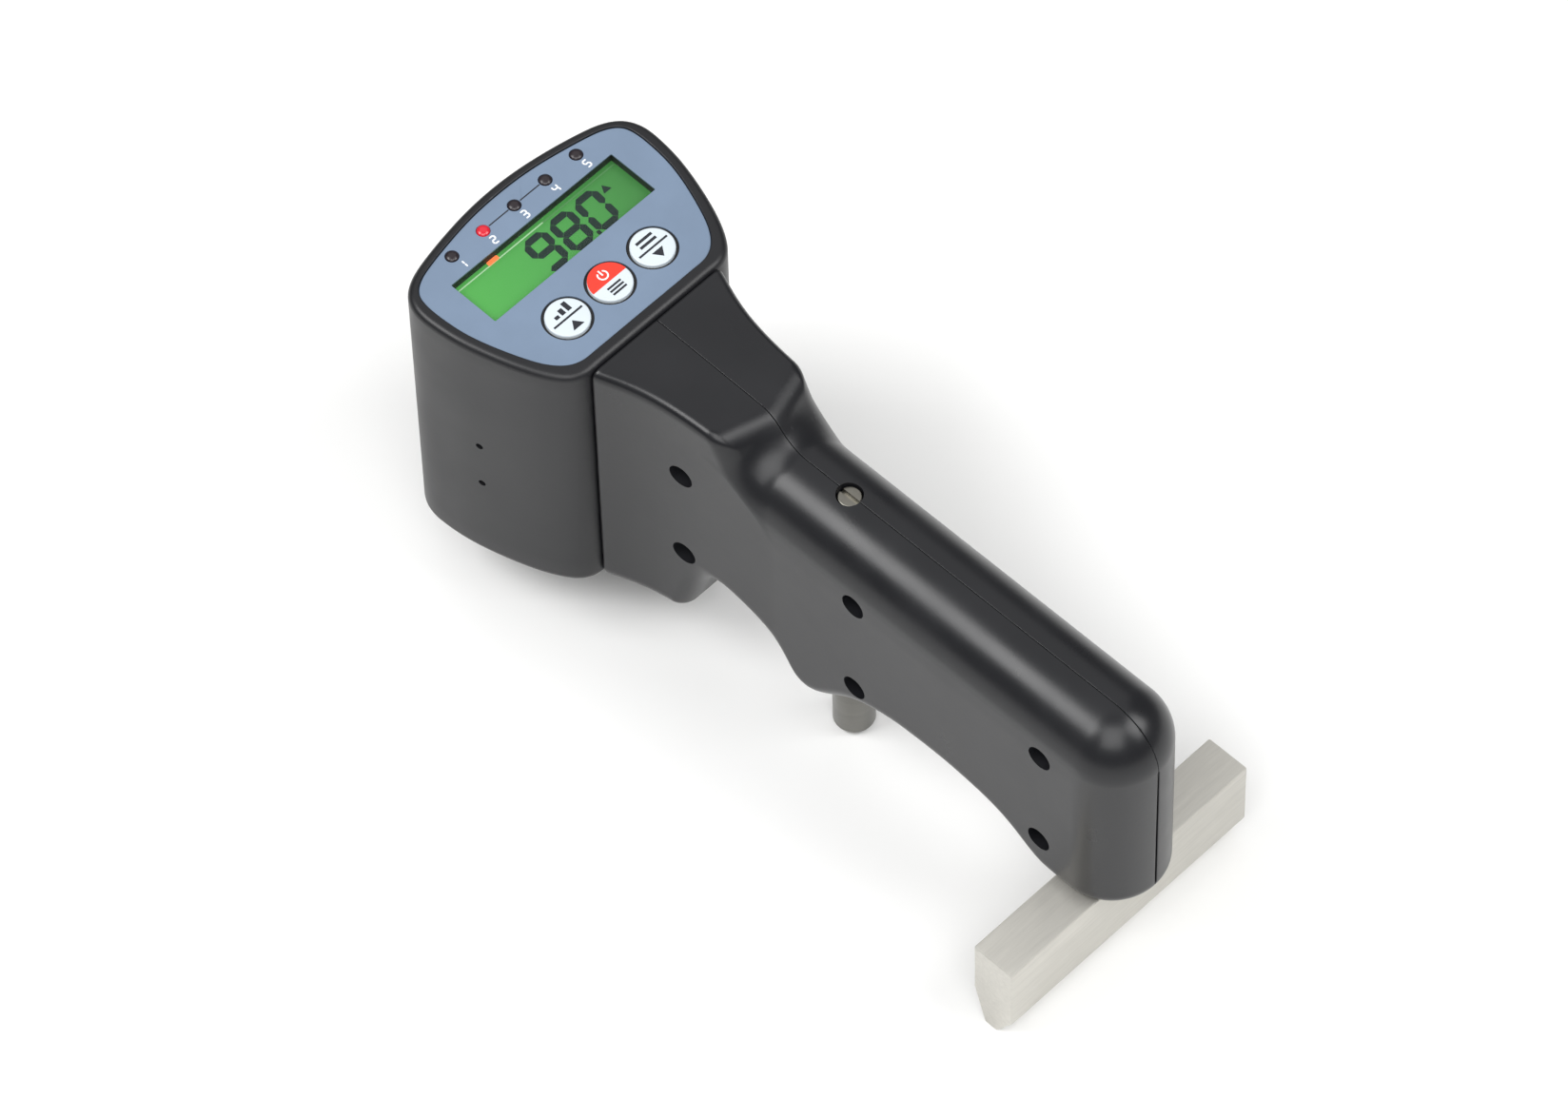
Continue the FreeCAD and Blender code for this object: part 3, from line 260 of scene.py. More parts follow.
def bool_cut(o, cutters):
    for c in cutters:
        md = o.modifiers.new("cut", "BOOLEAN")
        md.operation = "DIFFERENCE"
        md.solver = "EXACT"
        md.object = c
    dg = bpy.context.evaluated_depsgraph_get()
    me = bpy.data.meshes.new_from_object(o.evaluated_get(dg))
    o.modifiers.clear()
    old = o.data
    o.data = me
    bpy.data.meshes.remove(old)
    for c in cutters:
        d = c.data
        bpy.data.objects.remove(c)
        bpy.data.meshes.remove(d)
    return o


def cutter(verts, faces):
    me = bpy.data.meshes.new("cutter")
    me.from_pydata([tuple(q) for q in P(verts)], [], [tuple(int(i) for i in f) for f in faces])
    bm = bmesh.new()
    bm.from_mesh(me)
    bmesh.ops.recalc_face_normals(bm, faces=bm.faces)
    bm.to_mesh(me)
    bm.free()
    o = bpy.data.objects.new("cutter", me)
    COLL.objects.link(o)
    return o


def rod(x, y, z, r, length, axis, n=64, mouth=0.0):
    """Cylinder from (x, y, z) along an axis; the mouth argument is not used."""
    prof = [(r, 0.0), (r, length)]
    v, f = lathe(prof, n)
    if axis == "Y":
        v = v[:, [0, 2, 1]]
        f = [q[::-1] for q in f]
    if axis == "X":
        v = v[:, [2, 0, 1]]
    return v + np.array([x, y, z]), f


# ------------------------------------------------------------------ curves
def periodic_spline(pts, per=24):
    """Closed cubic spline through points with chord length parameters."""
    p = np.asarray(pts, float)
    n = len(p)
    h = np.linalg.norm(np.roll(p, -1, 0) - p, axis=1)
    A = np.zeros((n, n))
    B = np.zeros((n, 2))
    for i in range(n):
        hp, hn = h[i - 1], h[i]
        A[i, (i - 1) % n] += hp
        A[i, i] += 2 * (hp + hn)
        A[i, (i + 1) % n] += hn
        B[i] = 6 * ((p[(i + 1) % n] - p[i]) / hn - (p[i] - p[i - 1]) / hp)
    M = np.linalg.solve(A, B)
    out = []
    for i in range(n):
        j = (i + 1) % n
        t = np.linspace(0, 1, per, endpoint=False)[:, None]
        d = h[i]
        out.append((1 - t) * p[i] + t * p[j] + d * d / 6 * (((1 - t) ** 3 - (1 - t)) * M[i] + (t ** 3 - t) * M[j]))
    return np.concatenate(out)


def open_spline(pts, xs):
    """Natural cubic y(x) through points, with slopes, evaluated at xs."""
    p = np.asarray(pts, float)
    x, y = p[:, 0], p[:, 1]
    n = len(x)
    h = np.diff(x)
    A = np.zeros((n, n))
    b = np.zeros(n)
    A[0, 0] = A[-1, -1] = 1
    for i in range(1, n - 1):
        A[i, i - 1], A[i, i], A[i, i + 1] = h[i - 1], 2 * (h[i - 1] + h[i]), h[i]
        b[i] = 6 * ((y[i + 1] - y[i]) / h[i] - (y[i] - y[i - 1]) / h[i - 1])
    M = np.linalg.solve(A, b)
    xs = np.clip(xs, x[0], x[-1])
    k = np.clip(np.searchsorted(x, xs) - 1, 0, n - 2)
    t = (xs - x[k]) / h[k]
    u = 1 - t
    val = u * y[k] + t * y[k + 1] + h[k] ** 2 / 6 * ((u ** 3 - u) * M[k] + (t ** 3 - t) * M[k + 1])
    der = (y[k + 1] - y[k]) / h[k] + h[k] / 6 * ((1 - 3 * u * u) * M[k] + (3 * t * t - 1) * M[k + 1])
    return val, der


HEAD_HALF = [(42.8, 16.9), (41.8, 19.9), (38.6, 22.8), (33.5, 25.35), (27.0, 27.6),
             (20.0, 29.35), (14.5, 30.0), (9.8, 29.75), (6.5, 28.1), (4.3, 25.2),
             (2.7, 20.5), (1.25, 13.5), (0.33, 6.8), (0.0, 0.0)]
PANEL_HALF = [(40.0, 15.0), (39.2, 17.9), (36.6, 20.7), (31.5, 23.3), (25.6, 25.4),
              (20.0, 26.8), (14.5, 27.35), (10.4, 27.25), (8.0, 26.5), (6.3, 24.6),
              (4.95, 20.9), (3.6, 14.5), (2.6, 8.0), (2.2, 0.0)]


def loop_by_angle(half, n):
    xb, yb = half[0]
    up = [(xb, yb * k) for k in (0.36, 0.7, 0.9)] + list(half)
    pts = up + [(x, -y) for x, y in reversed(up[:-1])]
    c = periodic_spline(pts, 60)
    q = c - np.array([21.5, 0.0])
    ang = np.unwrap(np.arctan2(q[:, 1], q[:, 0]))
    r = np.hypot(q[:, 0], q[:, 1])
    th = np.linspace(0, 2 * math.pi, n, endpoint=False)
    a = np.mod(ang, 2 * math.pi)
    o = np.argsort(a)
    a, r = a[o], r[o]
    rr = np.interp(th, np.concatenate([a[-3:] - 2 * math.pi, a, a[:3] + 2 * math.pi]), np.concatenate([r[-3:], r, r[:3]]))
    loop = np.stack([21.5 + rr * np.cos(th), rr * np.sin(th)], 1)
    t = np.roll(loop, -1, 0) - np.roll(loop, 1, 0)
    t /= np.linalg.norm(t, axis=1)[:, None]
    nrm = np.stack([t[:, 1], -t[:, 0]], 1)
    return loop, nrm


NA = 420
head_loop, head_n = loop_by_angle(HEAD_HALF, NA)
panel_loop, panel_n = loop_by_angle(PANEL_HALF, NA)
Z_RIM, Z_FLOOR, Z_SHEET = 81.87, 15.38, 81.466


def z_at(level, x):
    return level - K * (x - 21.5)


M_CASE = mat_case("case_satin", 1.0, 0.38)
M_DARK = mat_plain("inner_dark", (0.012, 0.012, 0.013), 0.6, grain=2500.0)


# ------------------------------------------------------------------ head case
def head_case():
    rows = []

    def row(loop, off, level):
        xy = loop - (head_n if loop is head_loop else panel_n) * off
        return np.column_stack([xy, z_at(level, xy[:, 0])])
    zb, zt = Z_FLOOR, Z_RIM
    for s in (0.15, 0.45, 0.75):
        xy = np.array([21.5, 0]) + (head_loop - head_n * 3.6 - np.array([21.5, 0])) * s
        rows.append(np.column_stack([xy, z_at(zb, xy[:, 0])]))
    rows.append(row(head_loop, 3.6, zb))
    for i in range(9):
        a = math.radians(90 * i / 8)
        rows.append(row(head_loop, 2.5 * (1 - math.sin(a)), zb + 2.5 * (1 - math.cos(a))))
    for z in (22.0, 30.0, 40.0, 50.0, 60.0, 70.0, 77.0):
        rows.append(row(head_loop, 0.0, z))
    for i in range(10):
        a = math.radians(90 * i / 9)
        rows.append(row(head_loop, 1.55 * (1 - math.cos(a)), zt - 1.55 * (1 - math.sin(a))))
    g = -0.07
    rows.append(row(panel_loop, g - 0.22, zt))
    for i in range(1, 4):
        a = math.radians(90 * i / 3)
        rows.append(row(panel_loop, g - 0.22 + 0.22 * math.sin(a), zt - 0.22 * (1 - math.cos(a))))
    rows.append(row(panel_loop, g, zt - 2.55))
    rows.append(row(panel_loop, g + 0.9, zt - 2.60))
    rows.append(row(panel_loop, g + 0.9, zt - 4.6))
    rows.append(row(panel_loop, g, zt - 5.2))
    rows.append(row(panel_loop, g, zb + 2.2))
    for s in (0.6, 0.2):
        xy = np.array([21.5, 0]) + (panel_loop - np.array([21.5, 0])) * s
        rows.append(np.column_stack([xy, z_at(zb + 2.2, xy[:, 0])]))
    v = np.concatenate(rows)
    f = grid_faces(len(rows), NA, True)
    f.append(tuple(range(NA))[::-1])
    k = (len(rows) - 1) * NA
    f.append(tuple(range(k, k + NA)))
    o = outward(make("head_shell", v, f, M_CASE))
    cuts = []
    for z in (50.8, 38.9):
        a, b = rod(23.8, -31.0, z, 0.75, 6.0, "Y", 32)
        cuts.append(cutter(a, b))
    dx, dy = 23.3 / 2, 46.9 / 2
    a = np.array([[sx * dx, sy * dy, z] for z in (-2, 5) for sx, sy in ((-1, -1), (1, -1), (1, 1), (-1, 1))], float)
    a = a + np.array([18.8, 0, Z_FLOOR])
    a = lean(a, np.array([21.5, 0, 30.0]))
    cuts.append(cutter(a, [(0, 3, 2, 1), (4, 5, 6, 7), (0, 1, 5, 4), (1, 2, 6, 5), (2, 3, 7, 6), (3, 0, 4, 7)]))
    bool_cut(o, cuts)
    o.data.set_sharp_from_angle(angle=math.radians(50))
    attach(o, "housing")
    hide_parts("head_case")
    return o


head = head_case()

# ------------------------------------------------------------------ neck and grip
R, XE, ZTOP = 11.13, 158.87, 74.0
BELLY = [(59.6, 14.8), (60.75, 18.4), (62.05, 22.4), (63.5, 26.3), (65.8, 30.4), (69.6, 32.2), (74.0, 31.2),
         (79.0, 29.0), (82.0, 26.6), (84.7, 23.3), (87.2, 20.3), (89.9, 19.05), (92.8, 19.5),
         (95.6, 21.2), (99.0, 24.0), (103.5, 27.3), (108.6, 29.6), (114.0, 30.9), (120.0, 31.4),
         (127.0, 31.4), (133.0, 30.8), (138.0, 29.8), (142.6, 27.9), (147.0, 25.1), (150.8, 23.3),
         (154.0, 22.93), (158.0, 22.91), (164.0, 22.91), (170.0, 22.91), (175.0, 22.91)]
BX = np.linspace(59.6, 175, 6000)
BV, BD = open_spline(BELLY, BX)
POLES = [(43.0, 17.03), (48.0, 15.6), (56.0, 10.4), (66.0, 12.9), (76.0, 11.13), (84.0, 11.13)]
_t = np.linspace(0, 1, 3000)
_c = [math.comb(5, i) for i in range(6)]
_b = [_c[i] * _t ** i * (1 - _t) ** (5 - i) for i in range(6)]
WX = sum(_b[i] * POLES[i][0] for i in range(6))
WY = sum(_b[i] * POLES[i][1] for i in range(6))


def rmax(a, b, r):
    return np.minimum(np.maximum(a, b), -r) + np.hypot(np.maximum(a + r, 0), np.maximum(b + r, 0))


def rmin(a, b, r):
    return np.maximum(np.minimum(a, b), r) - np.hypot(np.minimum(a - r, 0), np.minimum(b - r, 0))


RIDGE_A = (73.9, 80.1)
RIDGE_N = (0.879, 0.260, 0.400)


def body_field(x, y, z):
    """Signed distance, roughly, to the outside of neck and grip."""
    ay = np.abs(y)
    w = np.where(x < 84, np.interp(x, WX, WY), R)
    b = np.interp(x, BX, BV)
    d = np.interp(x, BX, BD)
    line = 14.8 + (x - 59.6) * BD[0]
    b = np.where(x < 59.6, line, b)
    d = np.where(x < 59.6, BD[0], d)
    low = rmax(14.8 - z, (b - z) / np.sqrt(1 + d * d), 2.6)
    # grip: upright slab with a round top and a round end
    zc = ZTOP - w
    grip = np.sqrt(np.maximum(x - XE, 0) ** 2 + y * y + np.maximum(z - zc, 0) ** 2) - w
    # neck: flat top, cut behind by two faces that meet in the middle
    zt = 81.1 - (x - 43.0) * (1.0 / 30.9)
    side = ay - w
    sy = np.sqrt(y * y + 0.35 ** 2)
    rear = RIDGE_N[0] * (x - RIDGE_A[0]) + RIDGE_N[1] * sy + RIDGE_N[2] * (z - RIDGE_A[1])
    neck = rmax(rmax(z - zt, side, 2.0), rear, 3.2)
    rs = 0.001 + 0.35 * np.clip((z - 60.0) / 4.0, 0.0, 1.0) * np.clip((x - 66.0) / 5.0, 0.0, 1.0)
    top = rmax(rmin(grip, neck, 4.5), side, rs)
    out = rmax(top, low, 3.4)
    return rmax(out, 43.0 - x, 0.7)


def grip_half():
    xs = [43.0, 43.06, 43.2, 43.4, 43.7]
    xs += list(np.arange(44.2, 57.0, 0.55)) + list(np.arange(57.0, 66.0, 0.16)) + list(np.arange(66.0, 84.0, 0.26))
    xs += list(np.arange(84.0, 100.0, 0.32)) + list(np.arange(100.0, XE, 0.6))
    t_end = math.acos(0.36 / R)
    xs += list(XE + R * np.sin(np.linspace(0, t_end, 44)))
    xs = np.array(xs)
    nt_, ns_, nb_ = 84, 30, 40
    rows = []
    seam = 0.17
    for x in xs:
        w = R if x >= 84 else float(np.interp(x, WX, WY))
        if x > XE:
            w = math.sqrt(max(R * R - (x - XE) ** 2, 0.0))
        bx = 14.8 if x < 59.6 else float(np.interp(x, BX, BV))
        bx = max(14.8, bx)
        zt_o = 62.87
        zl_o = min(bx + 7.5, 45.0)
        oz, dy, dz = [], [], []
        for i in range(nt_ + 1):
            a = math.pi / 2 * (i / nt_)
            oz.append(zt_o); dy.append(-math.sin(a)); dz.append(math.cos(a))
        for i in range(1, ns_):
            oz.append(zt_o + (zl_o - zt_o) * i / ns_); dy.append(-1.0); dz.append(0.0)
        for i in range(nb_ + 1):
            a = math.pi / 2 * (1 + i / nb_)
            oz.append(zl_o); dy.append(-math.sin(a)); dz.append(math.cos(a))
        oz, dy, dz = map(np.array, (oz, dy, dz))
        lo, hi = np.zeros(len(oz)), np.full(len(oz), 34.0)
        xx = np.full(len(oz), x)
        for _ in range(26):
            md = (lo + hi) / 2
            inside = body_field(xx, dy * md, oz + dz * md) < 0
            lo = np.where(inside, md, lo)
            hi = np.where(inside, hi, md)
        r = (lo + hi) / 2
        y = dy * r
        z = oz + dz * r
        y = np.minimum(y, -seam)
        rows.append(np.column_stack([xx, y, z]))
    nc = len(rows[0])
    v = list(np.concatenate(rows))
    f = grid_faces(len(rows), nc, False)
    nr = len(rows)
    # border along the seam: top edge, round end, lower edge
    border = [i * nc for i in range(nr)] + [(nr - 1) * nc + j for j in range(1, nc)] + [i * nc + nc - 1 for i in range(nr - 2, -1, -1)]
    bp = np.array([v[i] for i in border])
    e = 0.05
    bx_, by_, bz_ = bp[:, 0], bp[:, 1] * 0 - 0.4, bp[:, 2]
    gx = body_field(bx_ + e, by_, bz_) - body_field(bx_ - e, by_, bz_)
    gz = body_field(bx_, by_, bz_ + e) - body_field(bx_, by_, bz_ - e)
    gn = np.hypot(gx, gz) + 1e-9
    n = np.column_stack([gx / gn, np.zeros(len(gx)), gz / gn])
    # leave the front rounding out of the seam normal
    n[bx_ < 44.0] *= np.array([0, 0, 1])
    n[bx_ < 44.0] /= np.maximum(np.linalg.norm(n[bx_ < 44.0], axis=1), 1e-9)[:, None]
    prev = border
    q = 0.13
    for k in range(1, 5):
        a = math.radians(90 * k / 4)
        pts = bp + np.array([0, 1, 0]) * q * math.sin(a) - n * q * (1 - math.cos(a))
        idx = list(range(len(v), len(v) + len(pts)))
        v += list(pts)
        for j in range(len(prev) - 1):
            f.append((prev[j], idx[j], idx[j + 1], prev[j + 1]))
        prev = idx
    # flat of the joint and front face close the body
    f.append(tuple(prev))
    front = [j for j in range(nc)]
    first, last = prev[0], prev[-1]
    chain_top = [front[0]]
    ring = list(range(nc))
    tops, bots = [], []
    base = nr * nc
    nb = len(border)
    for k in range(4):
        tops.append(base + k * nb)
        bots.append(base + k * nb + nb - 1)
    f.append(tuple(ring + bots + tops[::-1]))
    return np.array(v), f


M_GRIP = mat_case("grip_satin", 1.0, 0.30)
gv, gf = grip_half()
SCREWS = [(61.0, 61.1), (61.0, 36.2), (103.9, 60.64), (103.9, 33.97), (150.9, 59.66), (150.9, 32.8)]


def cavity(s):
    xs = [45.6, 58.0, 61.8, 66.0, 70.0, 75.0, 80.5, 86.0, 89.4, 92.6, 97.0, 104.0, 114.0, 128.0, 139.0, 147.5, 152.0, 160.0, 166.0]
    zl = [17.4, 17.4, 29.0, 35.0, 35.4, 34.2, 31.7, 26.5, 22.3, 22.3, 25.4, 30.7, 33.8, 34.1, 32.5, 28.0, 25.9, 25.9, 27.0]
    wd = [13.8, 10.5, 10.0, 9.6, 9.3, 9.0, 8.8, 8.7, 8.7, 8.7, 8.7, 8.7, 8.7, 8.7, 8.7, 8.7, 8.7, 8.2, 5.0]
    rows = []
    for x, a, w in zip(xs, zl, wd):
        t1, t2, w2 = (63.0, 70.5, max(w - 4.4, 0.8))
        rows.append([[x, s * -1.0, a], [x, s * w, a], [x, s * w, t1], [x, s * w2, t2], [x, s * -1.0, t2]])
    v = np.array(rows).reshape(-1, 3)
    f = grid_faces(len(xs), 5, True)
    f.append((0, 1, 2, 3, 4)[::-1])
    k = (len(xs) - 1) * 5
    f.append(tuple(range(k, k + 5)))
    return cutter(v, f)


def grip_piece(name, s, node):
    v = gv.copy()
    if s > 0:
        v[:, 1] *= -1
    o = outward(make(name, v, gf, M_GRIP))
    cuts = [cavity(s)]
    for a, b in (rod(92.6, 0, 12.0, 4.28, 20, "Z"), rod(92.6, 0, 66.0, 2.62, 12, "Z")):
        cuts.append(cutter(a, b))
    a = np.array([[x, y, z] for z in (20, 27.0) for x, y in ((154.5, -6.3), (163.3, -6.3), (163.3, 6.3), (154.5, 6.3))], float)
    cuts.append(cutter(a, [(0, 3, 2, 1), (4, 5, 6, 7), (0, 1, 5, 4), (1, 2, 6, 5), (2, 3, 7, 6), (3, 0, 4, 7)]))
    if s < 0:
        for sx, sz in SCREWS:
            a, b = rod(sx, -22.0, sz, 2.65, 22 - (11.13 if sx > 80 else 12.4) + 5.5, "Y", 64)
            cuts.append(cutter(a, b))
    bool_cut(o, cuts)
    o.data.set_sharp_from_angle(angle=math.radians(50))
    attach(o, "housing")
    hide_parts(node)
    return o


grip_n = grip_piece("grip_near", -1, "grip_shell_near")
grip_f = grip_piece("grip_far", 1, "grip_shell_far")

# recess walls around the screw holes of the near half
for i, (sx, sz) in enumerate(SCREWS):
    y0 = -(11.13 if sx > 80 else 12.4) + 0.9
    d = 4.5
    rr = 2.66
    v, f = lathe([(rr + 0.55, 0.0), (rr, 0.02), (rr, d), (1.45, d), (1.45, d + 1.5)], 48, caps=False)
    v = v[:, [0, 2, 1]] + np.array([sx, y0, sz])
    make("recess_wall_%d" % (i + 1), v, [q[::-1] for q in f], M_GRIP, angle=40, body="housing")

# ------------------------------------------------------------------ sheet over the display
def flat_piece(name, loops, z0, z1, mat, body="housing", bev=0.0, tilt=True):
    """Flat sheet with holes between two heights, filled by a planar curve."""
    cu = bpy.data.curves.new(name, "CURVE")
    cu.dimensions = "2D"
    cu.fill_mode = "BOTH"
    cu.extrude = max((z1 - z0) * 0.0005 - bev * 0.001, 0)
    cu.bevel_depth = bev * 0.001
    cu.bevel_resolution = 2
    cu.offset = -bev * 0.001
    for lp in loops:
        sp = cu.splines.new("POLY")
        lp = np.asarray(lp, float)
        sp.points.add(len(lp) - 1)
        q = P(np.column_stack([lp, np.zeros(len(lp))]))
        sp.points.foreach_set("co", np.column_stack([q, np.ones(len(q))]).ravel())
        sp.use_cyclic_u = True
    tmp = bpy.data.objects.new(name + "_c", cu)
    COLL.objects.link(tmp)
    dg = bpy.context.evaluated_depsgraph_get()
    me = bpy.data.meshes.new_from_object(tmp.evaluated_get(dg))
    bpy.data.objects.remove(tmp)
    bpy.data.curves.remove(cu)
    n = len(me.vertices)
    co = np.empty(n * 3)
    me.vertices.foreach_get("co", co)
    co = co.reshape(-1, 3) * 1000
    co[:, 0] += XM
    co[:, 2] += (z0 + z1) / 2
    if tilt:
        co = lean(co, PANEL)
    me.vertices.foreach_set("co", P(co).ravel())
    me.name = name
    me.materials.clear()
    me.materials.append(mat)
    me.shade_smooth()
    me.set_sharp_from_angle(angle=math.radians(35))
    o = bpy.data.objects.new(name, me)
    COLL.objects.link(o)
    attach(o, body)
    return o


def circle(x, y, r, n=72):
    a = np.linspace(0, 2 * math.pi, n, endpoint=False)
    return np.column_stack([x + r * np.cos(a), y + r * np.sin(a)])


def rect(x0, x1, y0, y1, r=0.0, n=5):
    if r <= 0:
        return np.array([(x0, y0), (x1, y0), (x1, y1), (x0, y1)])
    out = []
    for cx, cy, a0 in ((x1 - r, y1 - r, 0), (x0 + r, y1 - r, 90), (x0 + r, y0 + r, 180), (x1 - r, y0 + r, 270)):
        out += arc(cx, cy, r, a0, a0 + 90, n)
    return np.array(out)


LEDX, KEYX, KP = 6.05, 31.2, 11.1
LEDS = [-16.2, -8.1, 0.0, 8.1, 16.2]
M_SHEET = mat_plain("sheet_film", (0.150, 0.205, 0.290), 0.45, var=0.05, grain=3500.0, strength=0.12)
holes = [rect(10.6, 22.2, -20.9, 20.9, 0.25)] + [circle(KEYX, k * KP, 4.95) for k in (-1, 0, 1)] + [circle(LEDX, y, 1.38) for y in LEDS]
sheet = flat_piece("panel_sheet", [panel_loop - panel_n * 0.0] + holes, 81.066, Z_SHEET, M_SHEET, bev=0.06)
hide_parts("keypad_overlay")

# printed lines between the lamps and numerals beside them
M_INK_D = mat_plain("ink_dark", (0.012, 0.014, 0.02), 0.5, grain=3000.0)
M_INK_W = mat_plain("ink_white", (0.72, 0.74, 0.76), 0.5, grain=3000.0)
zi = Z_SHEET + 0.012


def strip(x0, y0, x1, y1, w):
    a, b = np.array([x0, y0]), np.array([x1, y1])
    t = (b - a) / np.linalg.norm(b - a)
    n = np.array([-t[1], t[0]]) * w / 2
    return np.array([a - n, b - n, b + n, a + n])


def ink(name, loops, mat, z, body="housing", thick=0.012):
    vs, fs = [], []
    for lp in loops:
        k = len(vs)
        m = len(lp)
        for zz in (z - thick, z):
            vs += [(p[0], p[1], zz) for p in lp]
        fs.append(tuple(range(k, k + m))[::-1])
        fs.append(tuple(range(k + m, k + 2 * m)))
        fs += [(k + j, k + (j + 1) % m, k + m + (j + 1) % m, k + m + j) for j in range(m)]
    v = lean(np.array(vs, float), PANEL)
    return outward(make(name, v, fs, mat, smooth=False, body=body))


ink("lamp_links", [strip(LEDX, LEDS[1] + 1.5, LEDX, LEDS[2] - 1.5, 0.28), strip(LEDX, LEDS[2] + 1.5, LEDX, LEDS[3] - 1.5, 0.28)],
    M_INK_D, zi)

SEG = {"0": "abcdef", "1": "bc", "2": "abged", "3": "abgcd", "4": "fgbc", "5": "afgcd", "6": "afgedc", "7": "abc",
       "8": "abcdefg", "9": "abfgcd"}


def digit(ch, ox, oy, h, w, t, gap, slant=0.0):
    """Seven-segment figure; reads with its top towards -X and its left towards -Y."""
    hh = h / 2
    S = []

    def seg(a, b):
        a, b = np.array(a, float), np.array(b, float)
        d = (b - a) / np.linalg.norm(b - a)
        n = np.array([-d[1], d[0]])
        a2, b2 = a + d * gap, b - d * gap
        k = t / 2
        return [a2, a2 + d * k + n * k, b2 - d * k + n * k, b2, b2 - d * k - n * k, a2 + d * k - n * k]
    pts = {"a": ((0, h), (w, h)), "b": ((w, h), (w, hh)), "c": ((w, hh), (w, 0)), "d": ((0, 0), (w, 0)),
           "e": ((0, hh), (0, 0)), "f": ((0, h), (0, hh)), "g": ((0, hh), (w, hh))}
    for s in SEG[ch]:
        lp = seg(*pts[s])
        out = []
        for u, v in lp:
            u2 = u + slant * v
            out.append((ox - v, oy + u2))
        S.append(np.array(out))
    return S


nums = []
for i, y in enumerate(LEDS):
    nums += digit(str(i + 1), LEDX + 3.75, y - 0.5, 1.7, 1.0, 0.34, 0.0)
ink("lamp_numbers", nums, M_INK_W, zi)

# ------------------------------------------------------------------ display
M_LCD, nt, b = material("lcd_green")
v = coords(nt, 1.0)
tc = nt.nodes.new("ShaderNodeTexCoord")
sep = nt.nodes.new("ShaderNodeSeparateXYZ")
nt.links.new(tc.outputs["Object"], sep.inputs[0])
gy = spread(nt, sep.outputs["Y"], 0.0, 1.0, -0.021, 0.021)
glow = ramp(nt, gy, [(0.0, (0.060, 0.300, 0.055)), (0.3, (0.054, 0.270, 0.052)), (0.7, (0.042, 0.210, 0.042)), (1.0, (0.030, 0.150, 0.030))])
nt.links.new(glow, b.inputs["Base Color"])
nt.links.new(glow, b.inputs["Emission Color"])
b.inputs["Emission Strength"].default_value = 0.8
b.inputs["Roughness"].default_value = 0.35
bump(nt, b, [(noise(nt, v, 3000.0, 2.0), 0.05, 0.00002)])
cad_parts["lcd_glass"].data.materials.clear()
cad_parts["lcd_glass"].data.materials.append(M_LCD)
zl = 73.9 + 3.4 + 1.9 + 0.02
M_SEG = mat_plain("lcd_segments", (0.002, 0.016, 0.016), 0.5, grain=3000.0)
segs = []
H, W, T, G = 7.5, 4.4, 1.50, 0.03
base_x = 20.4
for k, ch in enumerate("980"):
    segs += digit(ch, base_x, -4.7 + k * 6.6, H, W, T, G, 0.08)
segs.append(rect(base_x - 0.35, base_x + 0.6, -4.7 + 2 * 6.6 - 1.15, -4.7 + 2 * 6.6 - 0.35))
segs.append(np.array([(13.2, 15.6), (15.0, 14.6), (15.0, 16.6)]))
ink("lcd_figures", segs, M_SEG, zl)
# painted reflection of the lit lamp on the front wall of the recess: a glowing patch, not a lamp of its own
M_LAMP_REFLECTION_PAINT = mat_plain("lamp_glow", (0.75, 0.16, 0.05), 0.5, emis=((1.0, 0.22, 0.06), 0.9))
ink("lamp_glow", [rect(10.62, 11.6, -12.0, -9.3, 0.3)], M_LAMP_REFLECTION_PAINT, zl + 0.25)

# pale line where the display's light catches the front wall of the recess
M_EDGE = mat_plain("recess_line", (0.42, 0.66, 0.40), 0.4, emis=((0.45, 0.8, 0.42), 0.35))
M_EDGE2 = mat_plain("recess_line_dim", (0.10, 0.30, 0.10), 0.4, emis=((0.2, 0.5, 0.2), 0.15))
ink("recess_line", [strip(11.45, -20.6, 11.45, 2.0, 0.28)], M_EDGE, zl)
ink("recess_line_dim", [strip(11.45, 2.0, 11.45, 20.6, 0.28)], M_EDGE2, zl)

# clear pane
m, nt, b = material("pane_clear")
b.inputs["Base Color"].default_value = (0.03, 0.05, 0.03, 1)
b.inputs["Alpha"].default_value = 0.12
b.inputs["Roughness"].default_value = 0.06
bump(nt, b, [(noise(nt, coords(nt, 1.0), 120.0, 2.0), 0.02, 0.00002)])
M_PANE = m
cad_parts["lcd_window"].data.materials.clear()
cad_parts["lcd_window"].data.materials.append(M_PANE)

# ------------------------------------------------------------------ keys
M_KEY = mat_plain("key_white", (0.56, 0.62, 0.66), 0.3, var=0.03, grain=2500.0, strength=0.04, coat=0.2)
M_KEYRED = mat_plain("key_red", (0.70, 0.035, 0.018), 0.35, var=0.05, grain=2500.0, strength=0.04)
ZK = Z_SHEET + 0.36


def key_cap(name, y, node, body):
    r = 4.35
    prof = [(0.9, ZK - 3.6), (r + 0.5, ZK - 3.6), (r + 0.5, ZK - 2.95), (r, ZK - 2.9), (r, ZK - 0.32)]
    prof += [(r - 0.32 + 0.32 * math.cos(math.radians(a)), ZK - 0.32 + 0.32 * math.sin(math.radians(a))) for a in (20, 45, 70, 90)]
    prof += [(r * s, ZK + 0.03 * (1 - s * s)) for s in (0.85, 0.6, 0.35, 0.1)]
    v, f = lathe(prof, 96)
    v = lean(v + np.array([KEYX, y, 0]), PANEL)
    o = make(name, v, f, M_KEY, angle=60, body=body)
    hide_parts(node)
    return o


def dome_z(dx, dy):
    return ZK + 0.065


